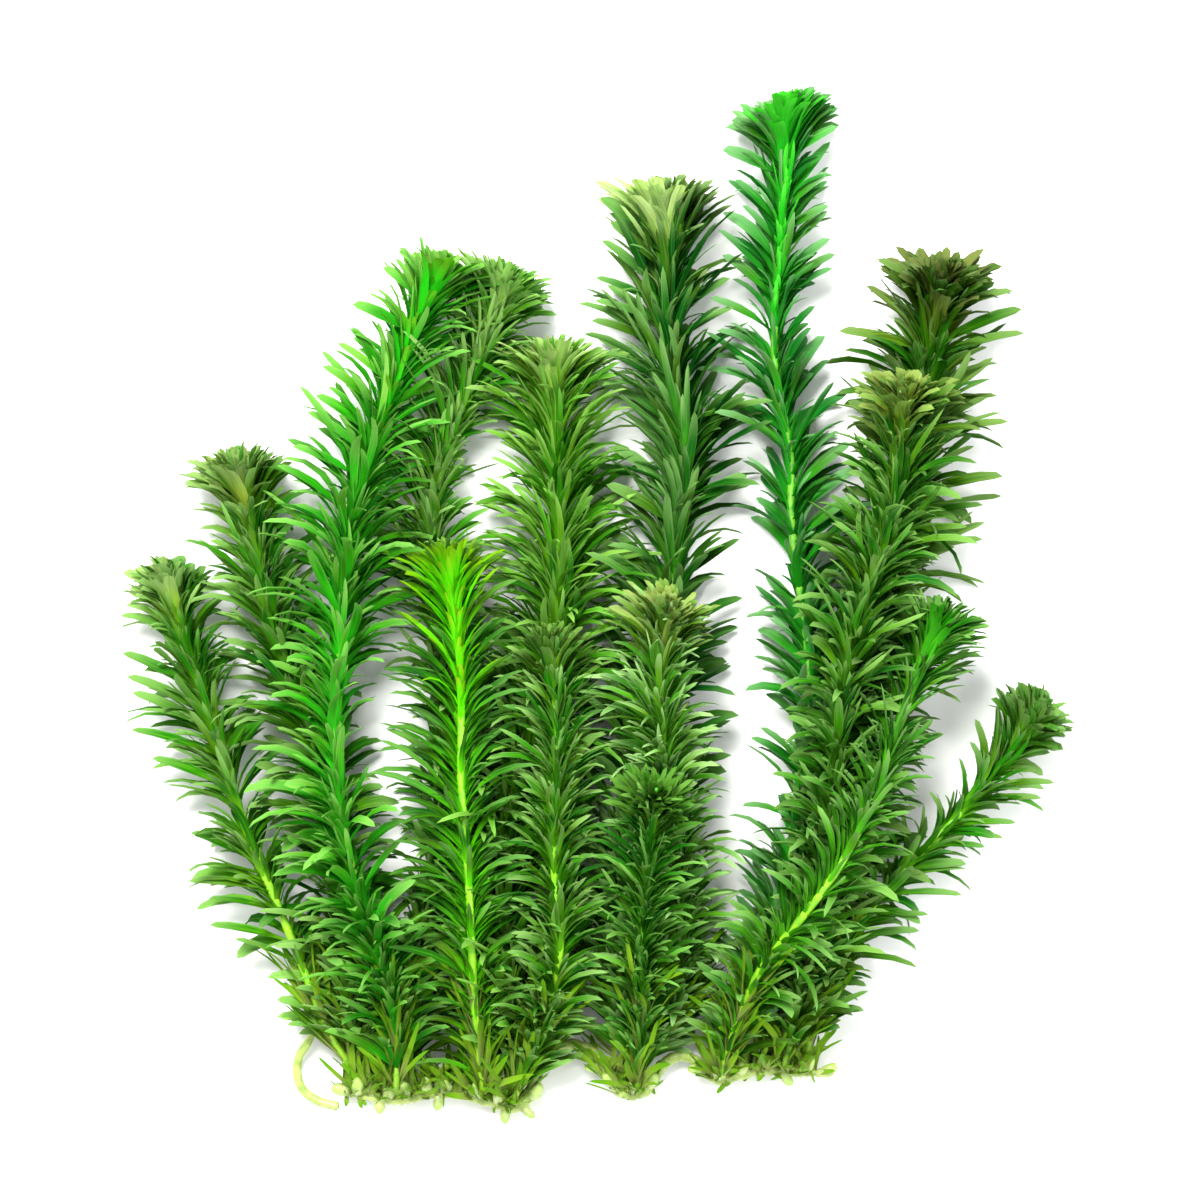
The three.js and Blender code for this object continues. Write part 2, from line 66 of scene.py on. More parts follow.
shoots = {
    "shoot_far_left": {
        "root": -60.6, "angle": 10, "leaf": 19.5, "wide": 3.2, "gap": (2.9, 4.4), "each": 8,
        "bend": (84, 108), "sides": (1.05, 0.85), "crown": 0.95, "lift": 1.2, "light": (1.4, 1.2),
        "neck": 0.9, "tuft": (0.5, 9), "tangle": 0.3, "stray": (0.03, 1.15), "green": "mid", "stem": "lime",
        "thin": [("top", 0.85, 1, -0.1, 0.6), ("left", 0.85, 0.65, 0, 0.32),
                 ("left", 0.6, 0.75, 0.84, 0.97), ("right", 0.45, 0.7, 0.05, 0.55)],
        "tint": {"young": (0.12, 0.34, 0.014), "heart": (0.06, 0.22, 0.01), "base": (0.18, 0.5, 0.01),
                 "blade": (0.045, 0.33, 0.005), "warm": (0.18, 0.5, 0.014), "tip": (0.28, 0.494, 0.143),
                 "sunny": (0.42, 0.64, 0.06), "fringe": (0.4, 0.57, 0.242)},
        "standout": [
            [102, -114.4, 112.6, 3.8], [97, -113.2, 107, 3.6], [87, -112.3, 94, 3], [79, -107.4, 87.2, 3],
            [62, -97.8, 69.6, 3.2], [55.4, -98.4, 58, 3], [50, -93.5, 54, 2.4], [93, -112, 103, 3.4],
            [58, -94.8, 62, 2.4], [43, -93.4, 47.8, 2.6], [38, -87.4, 44.4, 1.8]],
        "path": [
            [-65, 20, 8], [-67.6, 26.4, 9.5], [-72, 38, 11], [-77.5, 52, 12], [-84, 67, 12],
            [-90, 86, 11.5], [-95, 101, 11], [-99.5, 115, 11], [-103.5, 128, 11], [-105, 133.5, 11]]},
    "shoot_left": {
        "root": -56.5, "angle": -5, "leaf": 18.5, "wide": 2.8, "gap": (2.7, 3.5), "each": 9,
        "bend": (86, 110), "sides": (1.15, 0.95), "crown": 1.05, "lift": 2.4, "light": (1.2, 0.9),
        "neck": 0.3, "tuft": (0.25, 7), "tangle": 0.5, "stray": (0.08, 1.25), "green": "mid",
        "stem": "green",
        "thin": [("top", 0.4, 1, 0.2, 0.75)],
        "tint": {"young": (0.2, 0.32, 0.01), "heart": (0.09, 0.1, 0.01), "sunny": (0.44, 0.58, 0.06),
                 "fringe": (0.36, 0.52, 0.211)},
        "path": [
            [-60, 24, 8], [-61.5, 41, 9], [-63, 56, 9.5], [-65, 73, 9.5], [-69, 92, 11], [-75, 107, 12],
            [-79.5, 123, 12], [-82.5, 137, 12], [-85.5, 152, 12], [-87.5, 158.5, 12]]},
    "shoot_tall_left": {
        "root": -49, "angle": 50, "leaf": 22, "wide": 2.9, "gap": (2.6, 3.6), "each": 8,
        "bend": (76, 104), "sides": (1.0, 1.1), "crown": 1.0, "lift": 2.0, "light": (0.9, 0.4),
        "neck": 0.0, "tuft": (0.3, 8), "tangle": 0.3, "stray": (0.06, 1.2), "green": "bright",
        "stem": "green",
        "heart": (0.55, 13, 55), "fine": 1.3,
        "thin": [("top", 0.65, 1, 0.3, 0.6), ("top", 0.6, 1, -0.1, 0.16), ("top", 0.6, 1, 0.68, 1.2),
                 ("right", 0.92, 0.5, 0.16, 0.56), ("left", 0.2, 0.75, 0.78, 1)],
        "tint": {"young": (0.15, 0.38, 0.014), "heart": (0.015, 0.6, 0.008), "base": (0.03, 0.54, 0.01),
                 "blade": (0.045, 0.45, 0.007), "tip": (0.28, 0.6, 0.12), "sunny": (0.34, 0.6, 0.09),
                 "glow": 0.7},
        "standout": [
            [189, -58.8, 195.6, 4.4], [175.6, -62.2, 186.5, 2.6], [153.8, -73.2, 161.6, 3],
            [170, -66, 181, 3.4], [164, -67.5, 174, 3.6], [159, -69.6, 170, 2.8], [196, -51.4, 204.5, 3.6]],
        "path": [
            [-49, 20, 13], [-51, 33, 18], [-54.5, 46, 21], [-59, 61, 23], [-61.5, 75, 24], [-62.5, 92, 24],
            [-62, 111, 22], [-61, 130, 19], [-59.5, 145, 18], [-55.5, 159, 17], [-50.5, 173, 17],
            [-46, 186, 17], [-41, 199, 16.5], [-38, 206.5, 16]]},
    "shoot_tall_back": {
        "root": -45.5, "angle": 0, "leaf": 18.5, "wide": 2.2, "gap": (2.5, 3.3), "each": 12,
        "bend": (84, 105), "sides": (1.35, 1.0), "crown": 1.05, "lift": 2.8, "light": (0.7, 1.3),
        "neck": 0.2, "tuft": (0.2, 7), "tangle": 0.5, "stray": (0.04, 1.2), "green": "mid", "stem": "green",
        "fine": 1.8,
        "thin": [("right", 0.9, 0.55, 0.62, 0.86), ("left", 0.9, 0.6, 0.08, 0.62),
                 ("top", 0.6, 1, -0.1, 0.2)],
        "tint": {"young": (0.24, 0.6, 0.06), "heart": (0.12, 0.42, 0.03), "sunny": (0.44, 0.74, 0.16),
                 "blade": (0.1, 0.5, 0.01), "warm": (0.26, 0.6, 0.02)},
        "path": [
            [-46, 27, 9], [-44, 41, 10], [-42, 52, 10], [-40, 64, 10], [-39, 77, 10], [-38.6, 96, 10],
            [-39, 115, 10], [-40, 133, 10], [-39.5, 148, 10], [-36, 163, 10], [-31, 177, 10],
            [-26.5, 190, 10.5], [-23, 203, 11]]},
    "shoot_lime_front": {
        "root": -29, "angle": 60, "leaf": 18.5, "wide": 1.9, "gap": (2.3, 2.9), "each": 10,
        "bend": (80, 108), "sides": (1.15, 1.0), "crown": 1.0, "lift": 1.4, "light": (0.0, 0.4),
        "neck": 0.0, "tuft": (0.15, 6), "tangle": 0.2, "stray": (0.04, 1.3), "green": "bright",
        "stem": "lime",
        "heart": (1.65, 10, 42),
        "thin": [("top", 0.92, 1, -0.1, 0.9), ("top", 0.5, 1, 0.86, 1.3)],
        "tint": {"young": (0.28, 0.48, 0.01), "heart": (0.13, 0.82, 0.003), "base": (0.12, 0.66, 0.004),
                 "deep": (0.014, 0.12, 0.004), "blade": (0.018, 0.17, 0.006), "warm": (0.07, 0.34, 0.008),
                 "sunny": (0.38, 0.82, 0.012), "tip": (0.16, 0.36, 0.08), "glow": 0.62},
        "path": [
            [-30, 27, 15], [-30.5, 39, 20], [-31, 52, 23], [-31.5, 63, 25], [-33, 82, 26], [-33, 93, 26],
            [-33, 104, 26], [-34, 118, 26], [-35.5, 130, 25.5], [-36, 137.5, 25]]},
    "shoot_centre_back": {
        "root": -23.5, "angle": 0, "leaf": 22.5, "wide": 2.3, "gap": (2.0, 2.8), "each": 11,
        "bend": (90, 110), "sides": (1.12, 1.15), "crown": 1.12, "lift": 2.2, "light": (0.5, 0.7),
        "neck": 0.3, "tuft": (0.2, 8), "tangle": 0.6, "stray": (0.06, 1.2), "green": "mid", "stem": "green",
        "thin": [("top", 0.2, 1, 0.3, 0.8), ("left", 0.4, 0.7, 0.72, 0.85)],
        "tint": {"young": (0.3, 0.62, 0.014), "heart": (0.16, 0.26, 0.012), "tip": (0.34, 0.64, 0.13),
                 "deep": (0.03, 0.23, 0.004), "blade": (0.115, 0.55, 0.007), "sunny": (0.48, 0.74, 0.09),
                 "fringe": (0.54, 0.68, 0.3)},
        "path": [
            [-21, 27, 9], [-22, 40, 10], [-22.5, 54, 10], [-22.5, 68, 10], [-20, 80, 10], [-15.5, 93, 10],
            [-11.5, 107, 10], [-10, 121, 10], [-10, 133, 10], [-10, 145, 10], [-10.5, 157, 10.5],
            [-11, 169, 11], [-11, 178, 11], [-10.5, 185, 11]]},
    "shoot_centre_front": {
        "root": -20, "angle": 60, "leaf": 17, "wide": 1.8, "gap": (2.3, 3.0), "each": 10,
        "bend": (84, 104), "sides": (1.0, 1.0), "crown": 0.95, "lift": 0.9, "light": (0.0, 0.1),
        "neck": 0.3, "tuft": (0.15, 7), "tangle": 0.4, "stray": (0.05, 1.2), "green": "mid", "stem": "lime",
        "thin": [("top", 0.45, 1, 0.08, 0.6)],
        "tint": {"young": (0.12, 0.22, 0.01), "heart": (0.07, 0.11, 0.008), "fringe": (0.2, 0.342, 0.088)},
        "path": [
            [-16, 15, 11], [-12.5, 26, 16], [-10, 37, 20], [-9.5, 47, 22], [-10.5, 55, 23], [-11, 66, 24],
            [-10.5, 78, 25], [-10, 88, 25.5], [-10.5, 99, 26], [-12, 112, 26], [-12.5, 118, 26]]},
    "shoot_upper_centre": {
        "root": 7.4, "angle": 0, "leaf": 23, "wide": 3.3, "gap": (2.6, 3.6), "each": 8,
        "bend": (62, 86), "sides": (1.15, 1.0), "crown": 1.0, "lift": 4.2, "light": (2.6, 1.9),
        "neck": 1.6, "tuft": (0.45, 11), "tangle": 0.35, "stray": (0.04, 1.15), "green": "dark",
        "stem": "green",
        "thin": [("top", 0.3, 1, 0.5, 0.85), ("right", 0.7, 0.8, 0.47, 0.67)],
        "tint": {"deep": (0.004, 0.09, 0.006), "blade": (0.016, 0.2, 0.01), "warm": (0.08, 0.34, 0.02),
                 "young": (0.12, 0.38, 0.02), "heart": (0.24, 0.55, 0.02), "sunny": (0.56, 0.77, 0.19),
                 "tip": (0.25, 0.48, 0.132), "base": (0.05, 0.34, 0.01), "fringe": (0.7, 0.84, 0.42)},
        "standout": [
            [192, 30.9, 202.6, 3.4], [186, 31.8, 195.6, 3], [166.8, 41.3, 173, 2.6],
            [144.5, 34.8, 155.3, 4.6], [197, 0.7, 211.7, 3.4], [195, -0.7, 202.8, 2.6],
            [191, -0.7, 197.3, 2.6], [185, -1.7, 192.5, 3.2], [175, 1.5, 185, 3], [142, 1.9, 152.9, 4],
            [206, 0.5, 222, 4.6], [203, 3, 216, 4.6]],
        "path": [
            [6, 27, 9], [5.5, 42, 10], [6.5, 58, 10], [9.5, 77, 10], [13, 97, 10], [16, 116, 10],
            [18, 134, 10], [19.5, 143, 10], [20.5, 152, 10], [20.5, 162, 10], [19, 171, 10], [17, 181, 10],
            [16, 193, 10.5], [16.5, 205, 11], [16, 214, 11], [15, 222, 11]]},
    "shoot_mid_right_rear": {
        "root": 12, "angle": 0, "leaf": 18, "wide": 1.8, "gap": (2.3, 3.0), "each": 10,
        "bend": (90, 112), "sides": (1.2, 0.9), "crown": 1.1, "lift": 1.6, "light": (0.1, 0.3),
        "neck": 0.3, "tuft": (0.15, 8), "tangle": 0.8, "stray": (0.06, 1.3), "green": "mid",
        "stem": "green",
        "thin": [("top", 0.7, 1, 0.92, 1.3)],
        "tint": {"young": (0.2, 0.22, 0.012), "heart": (0.14, 0.08, 0.01), "fringe": (0.38, 0.5, 0.15),
                 "sunny": (0.44, 0.66, 0.11), "blade": (0.14, 0.62, 0.014), "tip": (0.5, 0.74, 0.32),
                 "deep": (0.05, 0.24, 0.008)},
        "path": [
            [17, 25, 9], [19, 37, 10], [19.5, 49, 11.5], [19, 63, 14], [17.5, 77, 18], [15.5, 89, 22],
            [14.5, 101, 24.5], [15, 112, 25.5], [16, 119.5, 27.5], [16.4, 124.5, 31.5]]},
    "shoot_mid_right_front": {
        "root": 9.4, "angle": 65, "leaf": 17, "wide": 1.7, "gap": (2.3, 3.0), "each": 10,
        "bend": (86, 104), "sides": (1.0, 0.85), "crown": 1.0, "lift": 0.9, "light": (0.0, 0.0),
        "neck": 0.3, "tuft": (0.15, 8), "tangle": 0.8, "stray": (0.04, 1.3), "green": "dark",
        "stem": "green",
        "thin": [("top", 0.7, 1, 0.9, 1.3)],
        "tint": {"young": (0.06, 0.18, 0.006), "heart": (0.03, 0.04, 0.006), "fringe": (0.1, 0.266, 0.033),
                 "blade": (0.035, 0.34, 0.006), "tip": (0.24, 0.513, 0.11), "sunny": (0.12, 0.32, 0.02)},
        "path": [
            [10, 22, 15], [10.5, 34, 20], [10.5, 44, 23.5], [11, 53, 26.5], [12, 63, 29.5],
            [12.3, 71, 32.5], [12.8, 77, 36.5], [13.2, 81, 41.5]]},
    "shoot_tallest": {
        "root": 34.5, "angle": 10, "leaf": 21, "wide": 3.1, "gap": (3.8, 4.8), "each": 10,
        "bend": (60, 84), "sides": (1.0, 1.0), "crown": 1.0, "lift": 3.6, "light": (0.9, 1.6),
        "neck": 0.0, "tuft": (0.65, 13), "tangle": 0.3, "stray": (0.04, 1.15), "green": "bright",
        "stem": "green",
        "heart": (0.9, 8, 52), "slope": 3,
        "thin": [("top", 0.75, 1, 0.35, 0.95), ("left", 0.6, 0.65, 0.15, 0.42),
                 ("left", 0.88, 0.55, 0.42, 0.62), ("left", 0.2, 0.75, 0.68, 0.93),
                 ("right", 0.25, 0.75, 0.6, 0.93)],
        "tint": {"young": (0.1, 0.68, 0.045), "heart": (0.02, 0.56, 0.016), "base": (0.02, 0.4, 0.012),
                 "deep": (0.008, 0.16, 0.015), "blade": (0.024, 0.31, 0.02), "warm": (0.09, 0.45, 0.045),
                 "sunny": (0.36, 0.76, 0.13), "tip": (0.24, 0.5, 0.21), "glow": 0.75},
        "standout": [
            [233, 31.9, 240.5, 4.8], [227, 29.5, 233.3, 4.8], [215, 32.6, 226.3, 2.8],
            [210, 34.6, 220.1, 2.8], [197, 29.8, 208.1, 3.6], [200, 28.3, 214, 3.2], [190, 26.9, 197.8, 3],
            [201, 54.7, 212.2, 3.2], [199.7, 56.2, 208.3, 3], [197, 55.4, 205, 2.6], [173, 53.8, 188.6, 5],
            [231, 56.6, 239, 3.2], [219, 54.2, 228, 3.2], [213, 54.5, 220, 3.2], [150, 60, 163, 4],
            [145, 61.5, 157, 4], [139, 61, 150, 4]],
        "path": [
            [38, 25, 9], [41, 36, 10], [43.5, 49, 10], [45.5, 60, 10], [47.5, 70, 10], [50, 81, 10],
            [51.5, 91, 10], [51, 104, 10], [49.5, 118, 10], [47.5, 132, 10], [46, 146, 10], [46, 158, 10],
            [44.5, 168, 10], [42.5, 179, 10], [42, 189, 10], [42.5, 200, 10], [43.8, 213, 10],
            [44.4, 225, 10.5], [44.2, 236, 11], [44.8, 243.5, 11]]},
    "shoot_olive_back": {
        "root": 41, "angle": -10, "leaf": 22, "wide": 3.0, "gap": (2.5, 3.2), "each": 9,
        "bend": (84, 100), "sides": (1.05, 1.0), "crown": 1.15, "lift": 4.4, "light": (0.0, 0.0),
        "neck": 0.9, "tuft": (0.3, 9), "tangle": 1.0, "stray": (0.03, 1.2), "green": "olive",
        "stem": "green",
        "slope": 2.5,
        "thin": [("left", 0.25, 0.6, 0.1, 0.76), ("top", 0.7, 1, 0.94, 1.3)],
        "tint": {"young": (0.08, 0.1, 0.005), "heart": (0.03, 0.022, 0.006), "fringe": (0.18, 0.228, 0.077),
                 "sunny": (0.24, 0.28, 0.015), "blade": (0.035, 0.18, 0.006), "tip": (0.22, 0.361, 0.11)},
        "standout": [
            [150, 96.7, 154.8, 4.4], [183, 101.5, 189.6, 3.6], [184, 57.9, 190, 3.4], [170, 95, 174.5, 2.6],
            [135, 91.7, 139.8, 3], [144, 91.9, 148, 2.6], [163, 97.7, 168.2, 2.6], [160, 60, 173, 4],
            [194, 98.4, 200.4, 3.4], [185, 100.8, 195.6, 3.6], [154, 61, 168, 4], [149, 60.5, 163, 4]],
        "path": [
            [46, 26, 9], [49.5, 36.5, 10], [52.5, 48.5, 10], [56.5, 63, 10], [59.5, 77, 10], [62, 92, 10],
            [64.5, 106, 10], [67, 120, 10], [70.5, 135, 10], [73.5, 149, 10], [76, 164, 10],
            [78, 176, 10.5], [79.5, 187, 11.5], [81.2, 196, 13.5], [82, 203, 17]]},
    "shoot_olive_front": {
        "root": 44.5, "angle": 50, "leaf": 20, "wide": 2.6, "gap": (2.3, 3.0), "each": 10,
        "bend": (88, 102), "sides": (1.0, 1.0), "crown": 1.1, "lift": 1.4, "light": (0.3, 0.6),
        "neck": 0.5, "tuft": (0.2, 8), "tangle": 1.0, "stray": (0.04, 1.25), "green": "olive",
        "stem": "green",
        "thin": [("left", 0.2, 0.6, 0.08, 0.6), ("top", 0.7, 1, 0.92, 1.3)],
        "tint": {"young": (0.12, 0.18, 0.006), "heart": (0.04, 0.03, 0.008), "fringe": (0.36, 0.48, 0.13),
                 "sunny": (0.38, 0.5, 0.035), "deep": (0.012, 0.12, 0.003), "blade": (0.035, 0.34, 0.005),
                 "warm": (0.12, 0.5, 0.01), "tip": (0.28, 0.52, 0.13)},
        "path": [
            [47, 25, 14], [49, 38, 19.5], [51.5, 52, 22], [53.5, 65, 23], [55, 75, 23.5], [56.5, 87, 24],
            [57.5, 99, 24.5], [59.5, 111, 25], [62.5, 123, 25], [66, 135, 25], [69, 143.5, 25],
            [70.5, 152, 25], [71.5, 163, 25.5], [72.4, 171, 27.5], [72.9, 176, 32]]},
    "shoot_right": {
        "root": 29.5, "angle": 65, "leaf": 17, "wide": 2.2, "gap": (2.5, 3.3), "each": 9,
        "bend": (74, 100), "sides": (1.0, 1.1), "crown": 1.2, "lift": 2.8, "light": (0.0, 0.2),
        "neck": 0.3, "tuft": (0.25, 8), "tangle": 0.5, "stray": (0.06, 1.3), "green": "bright",
        "stem": "lime",
        "heart": (0.6, 9, 28),
        "thin": [("top", 0.85, 1, -0.1, 0.6), ("top", 0.6, 1, 0.7, 1.2), ("right", 0.65, 0.65, 0.3, 0.85)],
        "tint": {"young": (0.04, 0.3, 0.012), "heart": (0.02, 0.42, 0.01), "base": (0.1, 0.5, 0.01),
                 "deep": (0.01, 0.1, 0.006), "blade": (0.05, 0.28, 0.008), "tip": (0.26, 0.475, 0.132),
                 "glow": 0.65},
        "standout": [
            [113, 88, 129, 3.4], [110, 90.7, 126, 3.6], [106, 91.2, 122.4, 3.6], [99, 87.6, 114, 3.4]],
        "path": [
            [32.5, 23, 17], [35.5, 32, 23], [40.5, 41, 28], [46, 48, 31.5], [52, 56, 34], [57, 63.5, 35],
            [62.5, 74, 34], [67, 84, 32], [70.5, 94, 29], [73.5, 102, 26.5], [76, 109, 25], [79, 116, 24],
            [81, 122.5, 23.5]]},
    "shoot_far_right": {
        "root": 49.5, "angle": 5, "leaf": 17, "wide": 3.1, "gap": (2.9, 4.4), "each": 8,
        "bend": (78, 104), "sides": (0.9, 0.8), "crown": 1.1, "lift": 2.2, "light": (0.0, 0.0),
        "neck": 0.3, "tuft": (0.45, 9), "tangle": 0.5, "stray": (0.08, 1.3), "green": "mid", "stem": "lime",
        "thin": [("top", 0.8, 1, -0.1, 0.72), ("left", 0.5, 0.8, 0.1, 0.75)],
        "tint": {"young": (0.12, 0.3, 0.014), "heart": (0.07, 0.16, 0.012), "blade": (0.04, 0.27, 0.005),
                 "warm": (0.14, 0.42, 0.012), "tip": (0.25, 0.427, 0.143)},
        "standout": [
            [80, 109, 81.4, 2.8], [76, 105.6, 78, 2.4], [71, 99.6, 72, 2.2], [69, 96.5, 68.4, 2],
            [66, 92.2, 66.2, 2.2], [60, 87.6, 62.2, 3.2], [54, 86.6, 54.7, 2.2], [48, 78.5, 50, 2],
            [43, 76.3, 46, 2.8], [82, 90.2, 96.5, 2.4], [63, 78, 76, 1.4]],
        "path": [
            [50.5, 21, 9], [53, 31, 10], [57.5, 40, 10.5], [62, 47.5, 10.5], [67, 53.5, 10.5],
            [72.5, 60, 10.5], [78, 65, 10.5], [84, 71, 10.5], [89, 77, 10.5], [93, 81.5, 10.5],
            [98, 87.5, 10.5], [101.8, 93, 10.5], [105, 98.5, 10.5], [106.4, 101.5, 10.5]]},
}

# The rhizome is as thick as its radius beside a shoot, slimmer between them and tapers to a share, end, at
# its ends
rhizome = {
    "radius": 1.9, "slim": 0.78, "nodeHalf": 2.5, "end": 0.55, "taperOver": 0.05, "skin": 0.9, "sides": 14,
    "ripples": ((0.07, 1.9), (0.05, 4.3)),  # the height of two waves along its skin, and how fast each runs
    "jointGap": 0.3, "straightFoot": 3.0,  # between its skin and a stem, and how far the stem runs straight
    "step": 0.4, "fineStep": 0.25,  # between points of its line, and where stems are set on it
    "path": [
        [-61.5, 6.2, 4.5], [-56, 5.6, 4.5], [-49, 4.8, 4.5], [-41, 6, 4.5], [-32, 5.6, 4.5],
        [-25.5, 3.8, 4.5], [-21, 2.8, 4.5], [-17.6, 4.6, 4.5], [-15.6, 9, 4.5], [-14, 13.4, 4.5],
        [-11, 16.6, 4.5], [-7, 17.8, 4.5], [-2.8, 16.6, 4.5], [0.6, 13.2, 4.5], [2.6, 9, 4.5],
        [5.4, 6.3, 4.5], [10.4, 6.6, 4.5], [13, 10, 4.5], [15.8, 13.4, 4.5], [19.8, 15, 4.5],
        [23, 13.8, 4.5], [25.6, 11, 4.5], [29, 9.6, 4.5], [34, 10.8, 4.5], [39.6, 12, 4.5],
        [46, 11.4, 4.5], [52.5, 11, 4.5]]}
runner = {
    "radius": 1.1, "tip": 0.6, "tipFrom": 0.85, "sides": 14, "step": 0.3,
    "path": [
        [-63.6, 2.7, 3.2], [-68.5, 4.1, 2.8], [-72, 6.7, 2.6], [-73.4, 10.6, 2.8], [-72.8, 14.8, 3.6],
        [-70.8, 18, 4.8], [-69.4, 20.4, 6]]}

# Short pale buds and hooked ends on the rhizome. Each row: how far along X it sits, its heading in degrees
# from +X round towards +Y, its rise off the surface in degrees, its length, its radius, and how far it
# curls, in degrees.
# profile: from and to where a half wave gives its outline, and the power that makes it fuller. wave, uneven:
# how far it is from round. cells: how many stand beside each other in the UV map.
budForm = {
    "rings": 7, "sides": 10, "profile": (0.12, 0.92, 0.7), "wave": 0.08, "uneven": 0.06, "clearance": 0.5,
    "cells": 6, "margin": 0.06,
}
buds = [
    [-60.5, 150, 25, 5.5, 1.5, 30], [-58, 110, 50, 6.5, 1.7, -25], [-55.5, 75, 45, 6, 1.5, 20],
    [-52.6, 250, 20, 4.5, 1.3, 30], [-50.5, 120, 55, 5.5, 1.6, -30], [-46.5, 95, 60, 9, 1.4, 15],
    [-42.5, 70, 50, 7.5, 1.5, 25], [-39.5, 285, 15, 4.5, 1.2, -40], [-36.5, 110, 45, 6.5, 1.6, 20],
    [-31.5, 60, 50, 6, 1.4, -20], [-27, 120, 40, 7.5, 1.5, 15], [-24.5, 85, 60, 9.5, 1.7, -10],
    [-22.5, 255, 10, 4.5, 1.2, 20], [-19, 300, 15, 5, 1.1, 35], [-17.5, 20, 25, 6, 1.5, 75],
    [-15.2, 70, 45, 6.5, 1.4, 40], [0.8, 215, 20, 5, 1.2, -60], [3.8, 120, 45, 6.5, 1.6, 25],
    [7, 70, 55, 6, 1.4, -30], [11.4, 45, 40, 5.5, 1.5, 35], [25.4, 150, 40, 5.5, 1.4, 40],
    [28.4, 80, 55, 7, 1.8, -20], [33.5, 60, 45, 6.5, 1.6, 30], [38.5, 110, 45, 6, 1.5, -25],
    [44, 285, 15, 4.5, 1.3, 40], [48.5, 40, 40, 6.5, 1.5, 35], [51.8, 345, 15, 6.5, 1.5, 80]]


def unit(v):
    # Vectors divided by their length
    return v / np.maximum(np.linalg.norm(v, axis=-1, keepdims=True), 1e-9)


spanSteps = 24  # points between two given ones, before a curve is cut into equal steps


def smoothPath(points, step):
    # A centripetal Catmull-Rom curve through the points: in each span, straight blends of straight blends of
    # four neighbouring points, with knots spaced by the square root of their distance, cut into equal steps
    p = np.asarray(points, float)
    p = np.vstack([2 * p[0] - p[1], p, 2 * p[-1] - p[-2]])
    knot = np.concatenate([[0], np.cumsum(np.linalg.norm(np.diff(p, axis=0), axis=1) ** 0.5)])
    a, b, c, d = (knot[i:len(p) - 3 + i, None, None] for i in range(4))
    p0, p1, p2, p3 = (p[i:len(p) - 3 + i, None, :] for i in range(4))
    t = b + (c - b) * np.linspace(0, 1, spanSteps, endpoint=False)[None, :, None]

    def blend(low, high, atLow, atHigh):
        return ((atHigh - t) * low + (t - atLow) * high) / (atHigh - atLow)

    q0, q1, q2 = blend(p0, p1, a, b), blend(p1, p2, b, c), blend(p2, p3, c, d)
    dense = blend(blend(q0, q1, a, c), blend(q1, q2, b, d), b, c).reshape(-1, 3)
    dense = np.vstack([dense, p[-2]])
    length = np.concatenate([[0], np.cumsum(np.linalg.norm(np.diff(dense, axis=0), axis=1))])
    count = max(int(round(length[-1] / step)), 4)
    at = np.linspace(0, length[-1], count + 1)
    return np.column_stack([np.interp(at, length, dense[:, k]) for k in range(3)]), at


class Stem:
    # A stem's centre line with its directions: along it, up off the surface, and sideways
    def __init__(self, points, step):
        self.line, self.at = smoothPath(points, step)
        self.length = self.at[-1]
        self.along = unit(np.gradient(self.line, axis=0))
        self.up = unit(np.array([0, 0, 1.0]) - self.along * self.along[:, 2:3])
        self.side = np.cross(self.up, self.along)

    def sample(self, distance):
        def pick(values):
            return np.stack([np.interp(distance, self.at, values[:, k]) for k in range(3)], -1)
        return pick(self.line), unit(pick(self.along)), unit(pick(self.up)), unit(pick(self.side))


def shootStem(shoot):
    # The same line as the solid's: from the rhizome's skin, square to it, then through the shoot's points
    line, _ = smoothPath(rhizome["path"], rhizome["fineStep"])
    along = unit(np.gradient(line, axis=0))
    i = int(np.argmin(np.abs(line[:, 0] - shoot["root"])))
    rise = np.radians(shoot["angle"])
    leave = np.array([0, np.cos(rise), np.sin(rise)])
    leave = unit(leave - along[i] * (leave @ along[i]))
    foot = line[i] + leave * (rhizome["radius"] + rhizome["jointGap"])
    return Stem([foot, foot + leave * rhizome["straightFoot"]] + shoot["path"], stemForm["step"])


def makeMesh(name, vertices, faces, uvs, attributes, sharpAngle=None):
    # faces: arrays of corner numbers, each with faces of one size. uvs: the same arrays, with a place for
    # each corner. attributes: one value for each vertex
    mesh = bpy.data.meshes.new(name)
    corners = np.concatenate([f.ravel() for f in faces])
    totals = np.concatenate([np.full(len(f), f.shape[1]) for f in faces])
    starts = np.concatenate([[0], np.cumsum(totals)[:-1]])
    places = np.concatenate([uv.reshape(-1, 2) for uv in uvs])
    mesh.vertices.add(len(vertices))
    mesh.vertices.foreach_set("co", ((vertices - clumpCentre) * metre).astype(np.float32).ravel())
    mesh.loops.add(len(corners))
    mesh.loops.foreach_set("vertex_index", corners.astype(np.int32))
    mesh.polygons.add(len(totals))
    mesh.polygons.foreach_set("loop_start", starts.astype(np.int32))
    mesh.polygons.foreach_set("use_smooth", np.ones(len(totals), bool))
    layer = mesh.uv_layers.new(name=bakeMap)
    layer.data.foreach_set("uv", places.astype(np.float32).ravel())
    for key, values in attributes.items():
        layer = mesh.attributes.new(key, "FLOAT", "POINT")
        layer.data.foreach_set("value", values.astype(np.float32))
    mesh.update(calc_edges=True)
    mesh.validate()
    if sharpAngle:
        mesh.set_sharp_from_angle(angle=np.radians(sharpAngle))
    piece = bpy.data.objects.new(name, mesh)
    bpy.context.scene.collection.objects.link(piece)
    return piece


def midline(start, direction, length):
    # Lines of equal steps: each step goes the mean way of the directions at its two ends
    steps = direction.shape[1] - 1
    stride = (direction[:, :-1] + direction[:, 1:]) / 2 * (length / steps)[:, None, None]
    return start[:, None] + np.concatenate([np.zeros((len(start), 1, 3)), np.cumsum(stride, axis=1)], axis=1)


